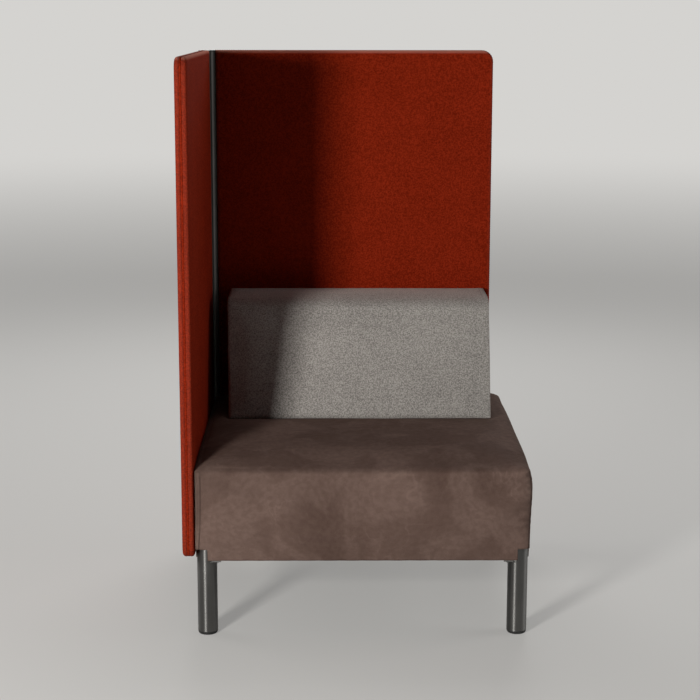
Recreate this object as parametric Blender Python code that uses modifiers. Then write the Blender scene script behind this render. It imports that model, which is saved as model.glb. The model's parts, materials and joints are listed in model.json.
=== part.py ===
"""Upholstered lounge bench with two tall felt screens, built as separate pieces.

Metres, +Z up. The seat's front looks along -Y and the floor is z = 0.
Sizes below are measured from the seat: x = 0 is its middle and y = 0 its front.
An empty carries every piece, so that the origin lies under the whole bench's middle.
"""

import math

import bmesh
import bpy
from mathutils import Matrix, Vector

# Clearance between pieces that touch
GAP = 0.0003

# Padded seat
SEAT_WIDTH = 0.800
SEAT_DEPTH = 0.775
SEAT_HEM = 0.188
SEAT_TOP = 0.421
SEAT_CROWN = 0.007
SEAT_BULGE = 0.0035
SEAT_ROUND = 0.021
COVER_SKIN = 0.002
FOAM_EASE = 0.0005

# Wooden frame inside the seat
RAIL_THICKNESS = 0.022
RAIL_HEIGHT = 0.120
CENTRE_RAIL_HEIGHT = 0.060
BLOCK_WIDTH = 0.060
BLOCK_HEIGHT = 0.100
STRAP_WIDTH = 0.060
STRAP_THICKNESS = 0.0018
STRAP_MARGIN = 0.024
STRAP_COUNT = 5
DUST_SHEET = 0.0012

# Legs
LEG_RADIUS = 0.024
LEG_WALL = 0.002
LEG_MARGIN = 0.001
LEG_RISE = 0.0275
NOTCH_WIDTH = 0.030
PLATE_THICKNESS = 0.005
PLATE_REACH = 0.011
PLATE_SETBACK = 0.003
GUSSET_DROP = 0.0095
GUSSET_THICKNESS = 0.005
GUSSET_SETBACK = 0.001
LEG_BOLT_RADIUS = 0.004
LEG_BOLT_BITE = 0.040
LEG_BOLT_EDGE = 0.0085
BOLT_HEAD_RADIUS = 0.0065
BOLT_HEAD_HEIGHT = 0.004
SOCKET_FLANGE = 0.0015
SOCKET_DEPTH = 0.022
GLIDE_RADIUS = 0.0225
GLIDE_HEIGHT = 0.0052
GLIDE_ROUND = 0.0015
STEM_RADIUS = 0.005
STEM_LENGTH = 0.032

# Felt screens
SCREEN_THICKNESS = 0.031
SCREEN_FOOT = 0.1915
SCREEN_TOP = 1.373
SCREEN_CORNER = 0.030
SCREEN_EDGE = 0.007
LEFT_SCREEN_FRONT = 0.0
BACK_SCREEN_WIDTH = 0.751
FELT_SKIN = 0.002
SCREEN_PAD = 0.005
BAND_WIDTH = 0.005
BAND_RECESS = 0.0008
SCREEN_BOLT_RADIUS = 0.004
SCREEN_BOLT_HEIGHT = 0.255
SCREEN_BOLT_SPREAD = 0.220
SCREEN_BOLT_BITE = 0.011

# Corner post between the screens
POST_LEFT = 0.025
POST_BACK = 0.0125
POST_ROUND_CENTRE = 0.005
POST_SHOULDER = 0.003
POST_WALL = 0.006
POST_BORE = 0.008
BEAD_RADIUS = 0.0045
BEAD_X = 0.0015
BEAD_Y = -0.0035
BEAD_SWEEP = math.radians(110)
TONGUE_DEPTH = 0.014
TONGUE_ROOT = 0.003
TONGUE_END = 0.010
CAP_THICKNESS = 0.003
CAP_PLUG = 0.012

# Wedge-shaped back cushion
CUSHION_WIDTH = 0.690
CUSHION_HEIGHT = 0.297
CUSHION_BASE = 0.309
CUSHION_TOP = 0.190
CUSHION_ROUND = 0.010
CUSHION_CROWN = 0.006
CUSHION_TOP_CROWN = 0.003
CUSHION_END_CROWN = 0.003
ZIP_LENGTH = 0.450
ZIP_WIDTH = 0.007
ZIP_HEIGHT = 0.045

# Facets of round and padded shapes
TUBE_SIDES = 32
BOLT_SIDES = 16
ARC_STEPS = 6
BEVEL_STEPS = 3
CUT_OVERRUN = 0.001
WELD_DISTANCE = 0.00001

# Places worked out from the sizes above
SCREEN_X = -SEAT_WIDTH / 2 - GAP
SCREEN_Y = SEAT_DEPTH + GAP
SCREEN_HEIGHT = SCREEN_TOP - SCREEN_FOOT
SCREEN_MIDDLE = (SCREEN_TOP + SCREEN_FOOT) / 2
LEFT_SCREEN_WIDTH = SCREEN_Y - POST_LEFT - LEFT_SCREEN_FRONT
POST_ROUND = SCREEN_THICKNESS + POST_ROUND_CENTRE
CORE_HALF = SCREEN_THICKNESS / 2 - FELT_SKIN - SCREEN_PAD - 2 * GAP
FRAME_INSET = COVER_SKIN + GAP
RAIL_LOW = SEAT_HEM + DUST_SHEET + GAP
RAIL_TOP = RAIL_LOW + RAIL_HEIGHT
STRAP_TOP = RAIL_TOP + GAP + STRAP_THICKNESS
LEG_INSET = COVER_SKIN + LEG_MARGIN + LEG_RADIUS
LEG_TOP = SEAT_HEM + LEG_RISE
LEG_LOW = GLIDE_HEIGHT + GAP + SOCKET_FLANGE + GAP
PLATE_TOP = SEAT_HEM - GAP
PLATE_LOW = PLATE_TOP - PLATE_THICKNESS
PLATE_EDGE = LEG_RADIUS + PLATE_REACH
BENCH_MIDDLE = Vector((
    (SEAT_WIDTH / 2 + SEAT_BULGE + SCREEN_X - SCREEN_THICKNESS) / 2,
    (SCREEN_Y + SCREEN_THICKNESS - SEAT_BULGE) / 2,
    0.0,
))

# Each leg's corner: which way it lies from the seat's middle
CORNERS = {
    "front_left": (-1, -1),
    "front_right": (1, -1),
    "rear_left": (-1, 1),
    "rear_right": (1, 1),
}

UPRIGHT = Matrix.Rotation(math.pi / 2, 4, "X")
TURNED_OVER = Matrix.Rotation(math.pi, 4, "X")


def clear_scene():
    """Remove every object that the file starts with."""
    for item in list(bpy.data.objects):
        bpy.data.objects.remove(item, do_unlink=True)


def make_collection(name):
    """Collection of that name, in the scene."""
    collection = bpy.data.collections.new(name)
    bpy.context.scene.collection.children.link(collection)
    return collection


def finish(name, colour, roughness, metallic=0.0):
    """Material with one plain finish."""
    material = bpy.data.materials.new(name)
    material.use_nodes = True
    shader = material.node_tree.nodes["Principled BSDF"]
    shader.inputs["Base Color"].default_value = (*colour, 1.0)
    shader.inputs["Roughness"].default_value = roughness
    shader.inputs["Metallic"].default_value = metallic
    return material


class Bench:
    """The collections, the carrying empty and the finishes that all pieces share."""

    def __init__(self):
        self.parts = make_collection("upholstered_bench")
        self.cutters = make_collection("cutters")
        self.carrier = bpy.data.objects.new("bench", None)
        self.carrier.location = -BENCH_MIDDLE
        self.parts.objects.link(self.carrier)
        self.finishes = {
            "suede": finish("brown_suede", (0.160, 0.107, 0.090), 0.95),
            "felt": finish("rust_felt", (0.310, 0.030, 0.013), 0.95),
            "wool": finish("grey_wool", (0.300, 0.285, 0.262), 0.95),
            "foam": finish("cream_foam", (0.720, 0.660, 0.480), 0.90),
            "wood": finish("pale_plywood", (0.560, 0.390, 0.220), 0.70),
            "webbing": finish("black_webbing", (0.030, 0.030, 0.032), 0.85),
            "steel": finish("brushed_steel", (0.520, 0.515, 0.500), 0.32, 1.0),
            "zinc": finish("zinc_plated_steel", (0.600, 0.600, 0.580), 0.40, 1.0),
            "plastic": finish("black_plastic", (0.016, 0.016, 0.016), 0.50),
            "anodised": finish("grey_anodised_aluminium", (0.085, 0.082, 0.078), 0.38, 1.0),
        }

    def add(self, name, mesh, finish_name, matrix=None, parent=None):
        """Place a mesh as a named piece, carried by the bench or by a parent."""
        mesh.name = name
        mesh.materials.clear()
        mesh.materials.append(self.finishes[finish_name])
        piece = bpy.data.objects.new(name, mesh)
        self.parts.objects.link(piece)
        piece.parent = parent or self.carrier
        piece.matrix_local = matrix or Matrix.Identity(4)
        return piece

    def add_cutter(self, name, mesh, matrix=None, parent=None):
        """Place a mesh that only cuts or joins other pieces."""
        mesh.name = name
        cutter = bpy.data.objects.new(name, mesh)
        self.cutters.objects.link(cutter)
        cutter.parent = parent or self.carrier
        cutter.matrix_local = matrix or Matrix.Identity(4)
        cutter.hide_render = True
        cutter.display_type = "WIRE"
        return cutter


def combine(piece, operation, others):
    """Cut other meshes from a piece, or join them to it."""
    for other in others:
        modifier = piece.modifiers.new(other.name, "BOOLEAN")
        modifier.operation = operation
        modifier.object = other


def thicken(piece, thickness):
    """Give an open surface its wall, inwards."""
    modifier = piece.modifiers.new("Wall", "SOLIDIFY")
    modifier.thickness = thickness
    modifier.offset = -1.0
    modifier.use_even_offset = True


def round_edges(piece, width):
    """Round the sharp edges of a padded shape."""
    modifier = piece.modifiers.new("Rounding", "BEVEL")
    modifier.width = width
    modifier.segments = BEVEL_STEPS
    modifier.limit_method = "ANGLE"
    modifier.angle_limit = math.radians(50)


def finish_mesh(bm, name):
    """Turn a bmesh into a mesh that is shaded smooth between its sharp edges."""
    mesh = bpy.data.meshes.new(name)
    bm.to_mesh(mesh)
    bm.free()
    mesh.shade_smooth()
    mesh.set_sharp_from_angle(angle=math.radians(40))
    return mesh


def box_mesh(low, high):
    """Box between two corners, with the matrix that puts it there."""
    low = Vector(low)
    high = Vector(high)
    bm = bmesh.new()
    bmesh.ops.create_cube(bm, size=1.0)
    bmesh.ops.scale(bm, vec=high - low, verts=bm.verts)
    return finish_mesh(bm, "box"), Matrix.Translation((low + high) / 2)


def rod_mesh(radius, length, sides):
    """Rod along +Z that starts at its origin."""
    bm = bmesh.new()
    bmesh.ops.create_cone(
        bm, cap_ends=True, segments=sides, radius1=radius, radius2=radius, depth=length,
    )
    bmesh.ops.translate(bm, vec=(0, 0, length / 2), verts=bm.verts)
    return finish_mesh(bm, "rod")


def evaluated_mesh(holder):
    """Mesh of an object with its modifiers applied, in place of that object."""
    depsgraph = bpy.context.evaluated_depsgraph_get()
    mesh = bpy.data.meshes.new_from_object(holder.evaluated_get(depsgraph))
    bpy.data.objects.remove(holder, do_unlink=True)
    return mesh


def outline_bmesh(outlines, thickness):
    """Flat outline with any holes, filled and given its thickness about z = 0."""
    curve = bpy.data.curves.new("outline", "CURVE")
    curve.dimensions = "2D"
    curve.fill_mode = "BOTH"
    curve.extrude = thickness / 2
    for outline in outlines:
        spline = curve.splines.new("POLY")
        spline.points.add(len(outline) - 1)
        for point, (x, y) in zip(spline.points, outline):
            point.co = (x, y, 0.0, 1.0)
        spline.use_cyclic_u = True
    holder = bpy.data.objects.new("outline", curve)
    bpy.context.scene.collection.objects.link(holder)
    mesh = evaluated_mesh(holder)
    bm = bmesh.new()
    bm.from_mesh(mesh)
    bpy.data.meshes.remove(mesh)
    bmesh.ops.remove_doubles(bm, verts=bm.verts, dist=WELD_DISTANCE)
    if len(outlines) == 1:
        bmesh.ops.dissolve_limit(
            bm, angle_limit=math.radians(0.1), verts=bm.verts, edges=bm.edges,
        )
    bmesh.ops.recalc_face_normals(bm, faces=bm.faces)
    return bm


def outline_mesh(outlines, thickness):
    """Mesh of a flat outline with any holes."""
    return finish_mesh(outline_bmesh(outlines, thickness), "outline")


def arc(centre, radius, start, end, steps=ARC_STEPS):
    """Points along an arc, from one angle to another."""
    angles = [start + (end - start) * step / steps for step in range(steps + 1)]
    return [(centre[0] + radius * math.cos(a), centre[1] + radius * math.sin(a)) for a in angles]


def rounded_rectangle(low, high, radii):
    """Outline whose corners are rounded, counted from the lower left, turning left."""
    corners = [low, (high[0], low[1]), high, (low[0], high[1])]
    points = []
    for index, (corner, radius) in enumerate(zip(corners, radii)):
        if radius <= 0:
            points.append(corner)
            continue
        inward_x = 1 if index in (0, 3) else -1
        inward_y = 1 if index in (0, 1) else -1
        centre = (corner[0] + inward_x * radius, corner[1] + inward_y * radius)
        start = math.pi + index * math.pi / 2
        points += arc(centre, radius, start, start + math.pi / 2)
    return points


def turned_piece(bench, name, profile, finish_name, sides, matrix=None, parent=None, ring=False):
    """Piece turned about its Z axis from a profile of radii and heights, top to bottom."""
    bm = bmesh.new()
    verts = [bm.verts.new((radius, 0.0, height)) for radius, height in profile]
    for start, end in zip(verts, verts[1:]):
        bm.edges.new((start, end))
    if ring:
        bm.edges.new((verts[-1], verts[0]))
    mesh = bpy.data.meshes.new(name)
    bm.to_mesh(mesh)
    bm.free()
    piece = bench.add(name, mesh, finish_name, matrix, parent)
    screw = piece.modifiers.new("Turning", "SCREW")
    screw.steps = sides
    screw.render_steps = sides
    screw.use_merge_vertices = True
    screw.merge_threshold = WELD_DISTANCE
    return piece


def grid_bmesh(divisions, shape, open_below=False):
    """Block of six gridded faces, each point moved to its place by shape.

    shape takes a point of the cube from -1 to 1 and gives its place.
    """
    bm = bmesh.new()
    bmesh.ops.create_cube(bm, size=2.0)
    if open_below:
        underside = [face for face in bm.faces if face.normal.z < -0.5]
        bmesh.ops.delete(bm, geom=underside, context="FACES")
    for axis, count in enumerate(divisions):
        normal = Vector((axis == 0, axis == 1, axis == 2))
        for step in range(1, count):
            everything = [*bm.verts, *bm.edges, *bm.faces]
            place = normal * (2 * step / count - 1)
            bmesh.ops.bisect_plane(bm, geom=everything, plane_co=place, plane_no=normal)
    for vert in bm.verts:
        vert.co = shape(*vert.co)
    return bm


def hump(share):
    """Swelling across a padded face: full in the middle and none at its two edges."""
    return 1.0 - share ** 4


def leg_centre(corner):
    """Middle of a leg, seen from above."""
    side, end = CORNERS[corner]
    return Vector((
        side * (SEAT_WIDTH / 2 - LEG_INSET),
        SEAT_DEPTH / 2 + end * (SEAT_DEPTH / 2 - LEG_INSET),
        0.0,
    ))


def seat_corner(corner, inset):
    """Corner of the seat, seen from above, set in from its sides."""
    side, end = CORNERS[corner]
    return Vector((
        side * (SEAT_WIDTH / 2 - inset),
        SEAT_DEPTH / 2 + end * (SEAT_DEPTH / 2 - inset),
        0.0,
    ))


def corner_box(corner, outer, inner, low, top):
    """Box at one corner of the seat, between two insets and two heights."""
    first = seat_corner(corner, outer)
    second = seat_corner(corner, inner)
    lowest = (min(first.x, second.x), min(first.y, second.y), low)
    highest = (max(first.x, second.x), max(first.y, second.y), top)
    return box_mesh(lowest, highest)


def leg_bolt_place(corner):
    """Foot of a leg's bolt: under its plate, near the plate's inner corner."""
    side, end = CORNERS[corner]
    reach = PLATE_EDGE - LEG_BOLT_EDGE
    return leg_centre(corner) + Vector((-side * reach, -end * reach, PLATE_LOW))


def leg_bolt_length():
    """Shank of a leg's bolt, through the plate and the dust sheet into the block."""
    return PLATE_THICKNESS + 2 * GAP + DUST_SHEET + LEG_BOLT_BITE


def make_leg_cutters(bench):
    """Cutters of each leg: its notches in cover and frame, its pocket and its bolt hole."""
    cutters = {}
    for corner in CORNERS:
        below = SEAT_HEM - CUT_OVERRUN
        ceiling = LEG_TOP + GAP
        cover_notch = corner_box(corner, -SEAT_BULGE - CUT_OVERRUN, NOTCH_WIDTH, below, ceiling)
        frame_notch = corner_box(corner, 0.0, LEG_INSET + LEG_RADIUS + LEG_MARGIN, below, ceiling)
        pocket = rod_mesh(LEG_RADIUS + GAP, LEG_RISE + GAP + CUT_OVERRUN, TUBE_SIDES)
        pocket_place = Matrix.Translation(leg_centre(corner) + Vector((0, 0, below)))
        hole = rod_mesh(LEG_BOLT_RADIUS + GAP, leg_bolt_length() + 2 * CUT_OVERRUN, BOLT_SIDES)
        hole_place = Matrix.Translation(leg_bolt_place(corner) - Vector((0, 0, CUT_OVERRUN)))
        cutters[corner] = {
            "cover": bench.add_cutter(f"cover_notch_{corner}", *cover_notch),
            "frame": bench.add_cutter(f"frame_notch_{corner}", *frame_notch),
            "pocket": bench.add_cutter(f"leg_pocket_{corner}", pocket, pocket_place),
            "bolt": bench.add_cutter(f"leg_bolt_hole_{corner}", hole, hole_place),
        }
    return cutters


def screen_bolt_places():
    """Start and direction of each screen's bolts, at the rails' inner faces."""
    inner_x = -SEAT_WIDTH / 2 + FRAME_INSET + RAIL_THICKNESS
    inner_y = SEAT_DEPTH - FRAME_INSET - RAIL_THICKNESS
    middle = SEAT_DEPTH / 2
    places = {}
    for label, spread in (("first", -SCREEN_BOLT_SPREAD), ("second", SCREEN_BOLT_SPREAD)):
        left = Vector((inner_x, middle + spread, SCREEN_BOLT_HEIGHT))
        back = Vector((spread, inner_y, SCREEN_BOLT_HEIGHT))
        places[f"left_screen_bolt_{label}"] = (left, Vector((-1, 0, 0)))
        places[f"back_screen_bolt_{label}"] = (back, Vector((0, 1, 0)))
    return places


def screen_bolt_length():
    """Shank of a screen's bolt, through rail and cover into the screen's core."""
    to_screen = RAIL_THICKNESS + FRAME_INSET + GAP
    return to_screen + FELT_SKIN + SCREEN_PAD + 2 * GAP + SCREEN_BOLT_BITE


def make_screen_bolts(bench):
    """Bolts that hold the screens, and the cutters of their holes, by screen."""
    length = screen_bolt_length()
    holes = {"left_screen": [], "back_screen": []}
    for name, (place, direction) in screen_bolt_places().items():
        turn = direction.to_track_quat("Z", "Y").to_matrix().to_4x4()
        matrix = Matrix.Translation(place - direction * GAP) @ turn
        profile = [
            (0.0, length),
            (SCREEN_BOLT_RADIUS, length),
            (SCREEN_BOLT_RADIUS, 0.0),
            (BOLT_HEAD_RADIUS, 0.0),
            (BOLT_HEAD_RADIUS, -BOLT_HEAD_HEIGHT),
            (0.0, -BOLT_HEAD_HEIGHT),
        ]
        turned_piece(bench, name, profile, "zinc", BOLT_SIDES, matrix)
        hole = rod_mesh(SCREEN_BOLT_RADIUS + GAP, length + 2 * CUT_OVERRUN, BOLT_SIDES)
        hole_place = Matrix.Translation(place - direction * CUT_OVERRUN) @ turn
        screen = name.split("_bolt")[0]
        holes[screen].append(bench.add_cutter(f"{name}_hole", hole, hole_place))
    return holes


def seat_shape(inset, low, top):
    """Rule that places the seat's grid: flat sides at the screens, swollen elsewhere."""
    half_width = SEAT_WIDTH / 2 - inset
    half_depth = SEAT_DEPTH / 2 - inset
    flank_middle = (SEAT_HEM + SEAT_TOP) / 2
    flank_half = (SEAT_TOP - SEAT_HEM) / 2

    def shape(u, v, w):
        x = half_width * u
        y = SEAT_DEPTH / 2 + half_depth * v
        z = (low + top) / 2 + (top - low) / 2 * w
        flank = 1.0 - ((z - flank_middle) / flank_half) ** 2
        if w == 1:
            z += SEAT_CROWN * hump(u) * hump(v)
        if u == 1:
            x += SEAT_BULGE * flank * hump(v)
        if v == -1:
            y -= SEAT_BULGE * flank * hump(u)
        return x, y, z

    return shape


def build_seat(bench, leg_cutters, bolt_holes):
    """Padded seat: its cover with notches for the legs, its foam and its dust sheet."""
    cover_bm = grid_bmesh((8, 8, 4), seat_shape(0.0, SEAT_HEM, SEAT_TOP), open_below=True)
    blank = bench.add("seat_cover_blank", finish_mesh(cover_bm, "seat_cover"), "suede")
    round_edges(blank, SEAT_ROUND)
    thicken(blank, COVER_SKIN)
    cover_mesh = evaluated_mesh(blank)
    for vert in cover_mesh.vertices:
        if vert.co.z < SEAT_HEM + COVER_SKIN:
            vert.co.z = SEAT_HEM
    cover = bench.add("seat_cover", cover_mesh, "suede")
    combine(cover, "DIFFERENCE", [cutters["cover"] for cutters in leg_cutters.values()])
    combine(cover, "DIFFERENCE", bolt_holes["left_screen"] + bolt_holes["back_screen"])

    inset = FRAME_INSET + FOAM_EASE
    foam_bm = grid_bmesh((8, 8, 2), seat_shape(inset, STRAP_TOP + GAP, SEAT_TOP - FRAME_INSET))
    foam = bench.add("seat_foam", finish_mesh(foam_bm, "seat_foam"), "foam")
    round_edges(foam, SEAT_ROUND - inset)

    low = (-SEAT_WIDTH / 2 + FRAME_INSET, FRAME_INSET)
    high = (SEAT_WIDTH / 2 - FRAME_INSET, SEAT_DEPTH - FRAME_INSET)
    sheet = outline_mesh([rounded_rectangle(low, high, [SEAT_ROUND] * 4)], DUST_SHEET)
    place = Matrix.Translation((0, 0, SEAT_HEM + DUST_SHEET / 2))
    dust = bench.add("dust_sheet", sheet, "webbing", place)
    combine(dust, "DIFFERENCE", [cutters["frame"] for cutters in leg_cutters.values()])
    combine(dust, "DIFFERENCE", [cutters["bolt"] for cutters in leg_cutters.values()])


def add_end_rail(bench, end):
    """Front or rear rail, whose outer corners follow the seat's rounded corners."""
    half = SEAT_WIDTH / 2 - FRAME_INSET
    rounding = min(SEAT_ROUND, RAIL_THICKNESS - GAP)
    if end == "front":
        low_y = FRAME_INSET
        radii = [rounding, rounding, 0, 0]
    else:
        low_y = SEAT_DEPTH - FRAME_INSET - RAIL_THICKNESS
        radii = [0, 0, rounding, rounding]
    outline = rounded_rectangle((-half, low_y), (half, low_y + RAIL_THICKNESS), radii)
    place = Matrix.Translation((0, 0, RAIL_LOW + RAIL_HEIGHT / 2))
    return bench.add(f"frame_{end}_rail", outline_mesh([outline], RAIL_HEIGHT), "wood", place)


def add_cross_rail(bench, name, low_x, height):
    """Rail that runs from the front rail to the rear one."""
    start = FRAME_INSET + RAIL_THICKNESS + GAP
    low = (low_x, start, RAIL_LOW)
    high = (low_x + RAIL_THICKNESS, SEAT_DEPTH - start, RAIL_LOW + height)
    mesh, place = box_mesh(low, high)
    return bench.add(name, mesh, "wood", place)


def build_frame(bench, leg_cutters, bolt_holes):
    """Wooden box frame with its corner blocks and the straps that carry the foam."""
    outer = SEAT_WIDTH / 2 - FRAME_INSET
    rails = {
        "front": add_end_rail(bench, "front"),
        "rear": add_end_rail(bench, "rear"),
        "left": add_cross_rail(bench, "frame_left_rail", -outer, RAIL_HEIGHT),
        "right": add_cross_rail(bench, "frame_right_rail", outer - RAIL_THICKNESS, RAIL_HEIGHT),
    }
    add_cross_rail(bench, "frame_centre_rail", -RAIL_THICKNESS / 2, CENTRE_RAIL_HEIGHT)
    for side, rail in rails.items():
        nearby = [corner for corner in CORNERS if side in corner]
        combine(rail, "DIFFERENCE", [leg_cutters[corner]["frame"] for corner in nearby])
    combine(rails["left"], "DIFFERENCE", bolt_holes["left_screen"])
    combine(rails["rear"], "DIFFERENCE", bolt_holes["back_screen"])

    inset = FRAME_INSET + RAIL_THICKNESS + GAP
    for corner, cutters in leg_cutters.items():
        mesh, place = corner_box(corner, inset, inset + BLOCK_WIDTH, RAIL_LOW, RAIL_LOW + BLOCK_HEIGHT)
        block = bench.add(f"corner_block_{corner}", mesh, "wood", place)
        combine(block, "DIFFERENCE", [cutters["pocket"], cutters["bolt"]])

    run = SEAT_WIDTH - 2 * (FRAME_INSET + RAIL_THICKNESS)
    for index in range(STRAP_COUNT):
        middle = run * ((index + 0.5) / STRAP_COUNT - 0.5)
        low = (middle - STRAP_WIDTH / 2, STRAP_MARGIN, RAIL_TOP + GAP)
        high = (middle + STRAP_WIDTH / 2, SEAT_DEPTH - STRAP_MARGIN, STRAP_TOP)
        mesh, place = box_mesh(low, high)
        bench.add(f"webbing_strap_{index + 1}", mesh, "webbing", place)


def plate_outline(corner):
    """Leg plate seen from above: a square that hugs the tube's inner side."""
    side, end = CORNERS[corner]
    radius = LEG_RADIUS + GAP
    back = LEG_RADIUS - PLATE_SETBACK
    start = math.atan2(math.sqrt(radius ** 2 - back ** 2), -back)
    stop = math.pi / 2 - start
    points = [(PLATE_EDGE, -back), (PLATE_EDGE, PLATE_EDGE), (-back, PLATE_EDGE)]
    points += arc((0, 0), radius, start, stop, TUBE_SIDES // 2)
    return [(-side * x, -end * y) for x, y in points]


def add_leg_plate(bench, corner, hole):
    """Steel plate with two gussets, welded round the tube under the seat."""
    side, end = CORNERS[corner]
    centre = leg_centre(corner)
    place = Matrix.Translation(centre + Vector((0, 0, PLATE_TOP - PLATE_THICKNESS / 2)))
    plate = bench.add(
        f"leg_plate_{corner}", outline_mesh([plate_outline(corner)], PLATE_THICKNESS), "steel", place,
    )
    near = LEG_RADIUS + 2 * GAP
    far = PLATE_EDGE - GUSSET_SETBACK
    lap = PLATE_THICKNESS / 2
    triangle = [(near, -GUSSET_DROP), (far, 0.0), (far, lap), (near, lap)]
    gussets = []
    for label, heading in (("x", (-side, 0)), ("y", (0, -end))):
        turn = Matrix.Rotation(math.atan2(heading[1], heading[0]), 4, "Z")
        spot = Matrix.Translation(centre + Vector((0, 0, PLATE_LOW)))
        mesh = outline_mesh([triangle], GUSSET_THICKNESS)
        gussets.append(bench.add_cutter(f"gusset_{label}_{corner}", mesh, spot @ turn @ UPRIGHT))
    combine(plate, "UNION", gussets)
    combine(plate, "DIFFERENCE", [hole])


def build_leg(bench, corner, cutters):
    """One leg: tube, plate and bolt, with the socket and glide in its foot."""
    centre = leg_centre(corner)
    bm = bmesh.new()
    bmesh.ops.create_cone(
        bm, cap_ends=False, segments=TUBE_SIDES, radius1=LEG_RADIUS, radius2=LEG_RADIUS,
        depth=LEG_TOP - LEG_LOW,
    )
    place = Matrix.Translation(centre + Vector((0, 0, (LEG_TOP + LEG_LOW) / 2)))
    tube = bench.add(f"leg_tube_{corner}", finish_mesh(bm, "leg_tube"), "steel", place)
    thicken(tube, LEG_WALL)

    add_leg_plate(bench, corner, cutters["bolt"])
    bolt = [
        (0.0, leg_bolt_length()),
        (LEG_BOLT_RADIUS, leg_bolt_length()),
        (LEG_BOLT_RADIUS, -GAP),
        (BOLT_HEAD_RADIUS, -GAP),
        (BOLT_HEAD_RADIUS, -GAP - BOLT_HEAD_HEIGHT),
        (0.0, -GAP - BOLT_HEAD_HEIGHT),
    ]
    bolt_place = Matrix.Translation(leg_bolt_place(corner))
    turned_piece(bench, f"leg_bolt_{corner}", bolt, "zinc", BOLT_SIDES, bolt_place)

    plug = LEG_RADIUS - LEG_WALL - GAP
    bore = STEM_RADIUS + GAP
    foot = GLIDE_HEIGHT + GAP
    socket = [
        (plug, LEG_LOW + SOCKET_DEPTH),
        (plug, LEG_LOW - GAP),
        (LEG_RADIUS, LEG_LOW - GAP),
        (LEG_RADIUS, foot),
        (bore, foot),
        (bore, LEG_LOW + SOCKET_DEPTH),
    ]
    leg_place = Matrix.Translation(centre)
    turned_piece(
        bench, f"glide_socket_{corner}", socket, "plastic", TUBE_SIDES, leg_place, ring=True,
    )
    glide = [
        (0.0, GLIDE_HEIGHT + STEM_LENGTH),
        (STEM_RADIUS, GLIDE_HEIGHT + STEM_LENGTH),
        (STEM_RADIUS, GLIDE_HEIGHT),
        (GLIDE_RADIUS, GLIDE_HEIGHT),
        (GLIDE_RADIUS, GLIDE_ROUND),
        (GLIDE_RADIUS - GLIDE_ROUND, 0.0),
        (0.0, 0.0),
    ]
    turned_piece(bench, f"levelling_glide_{corner}", glide, "plastic", TUBE_SIDES, leg_place)


def panel_outline(width, inset):
    """Screen's outline, from its post end at x = 0 to its rounded free end."""
    half = SCREEN_HEIGHT / 2 - inset
    radius = SCREEN_CORNER - inset
    return rounded_rectangle((inset, -half), (width - inset, half), [0, radius, radius, 0])


def band_outline(width):
    """Seam band's outline: round the free edges, open at the post."""
    outer = panel_outline(width, BAND_RECESS)
    inner = panel_outline(width, FELT_SKIN)
    return outer[:-1] + [(0.0, outer[-1][1]), (0.0, inner[-1][1])] + inner[-2:0:-1] + [
        (0.0, inner[0][1]), (0.0, outer[0][1]),
    ]


def slab_mesh(outline, thickness, rounding):
    """Slab about z = 0 whose upper edge is rounded."""
    bm = outline_bmesh([outline], thickness)
    upper = [face for face in bm.faces if face.normal.z > 0.9]
    edges = list({edge for face in upper for edge in face.edges})
    bmesh.ops.bevel(
        bm, geom=edges, offset=rounding, segments=BEVEL_STEPS, profile=0.5, affect="EDGES",
    )
    return bm


def build_screen(bench, name, matrix, width, inner_side, bolt_holes):
    """One screen: core, pads, felt covers and the band along the seam between them.

    matrix carries x from the post to the free end, y up and z through the thickness.
    inner_side is 1 where +z looks at the seat, and -1 where it looks away.
    """
    half = SCREEN_THICKNESS / 2
    inset = FELT_SKIN + GAP
    core = bench.add(
        f"{name}_core", outline_mesh([panel_outline(width, inset)], 2 * CORE_HALF), "wood", matrix,
    )
    slot = BAND_WIDTH / 2 + GAP
    groove_mesh, groove_place = box_mesh(
        (-CUT_OVERRUN, -SCREEN_HEIGHT / 2, -slot), (TONGUE_DEPTH + GAP, SCREEN_HEIGHT / 2, slot),
    )
    groove = bench.add_cutter(f"{name}_groove", groove_mesh, matrix @ groove_place)
    combine(core, "DIFFERENCE", [groove])
    combine(core, "DIFFERENCE", bolt_holes)
    bench.add(f"{name}_seam_band", outline_mesh([band_outline(width)], BAND_WIDTH), "felt", matrix)

    for side in (1, -1):
        label = "inner" if side == inner_side else "outer"
        turn = Matrix.Identity(4) if side == 1 else TURNED_OVER
        depth = half - slot
        tray_bm = slab_mesh(panel_outline(width, 0.0), depth, SCREEN_EDGE)
        hidden = [face for face in tray_bm.faces if face.normal.z < -0.9]
        bmesh.ops.delete(tray_bm, geom=hidden, context="FACES")
        tray_place = matrix @ turn @ Matrix.Translation((0, 0, slot + depth / 2))
        tray = bench.add(f"{name}_{label}_cover", finish_mesh(tray_bm, "cover"), "felt", tray_place)
        thicken(tray, FELT_SKIN)
        pad_edge = min(SCREEN_EDGE - inset, SCREEN_PAD * 0.9)
        pad_bm = slab_mesh(panel_outline(width, inset), SCREEN_PAD, pad_edge)
        pad_place = matrix @ turn @ Matrix.Translation((0, 0, half - inset - SCREEN_PAD / 2))
        pad = bench.add(f"{name}_{label}_pad", finish_mesh(pad_bm, "pad"), "foam", pad_place)
        if label == "inner":
            combine(tray, "DIFFERENCE", bolt_holes)
            combine(pad, "DIFFERENCE", bolt_holes)


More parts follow.
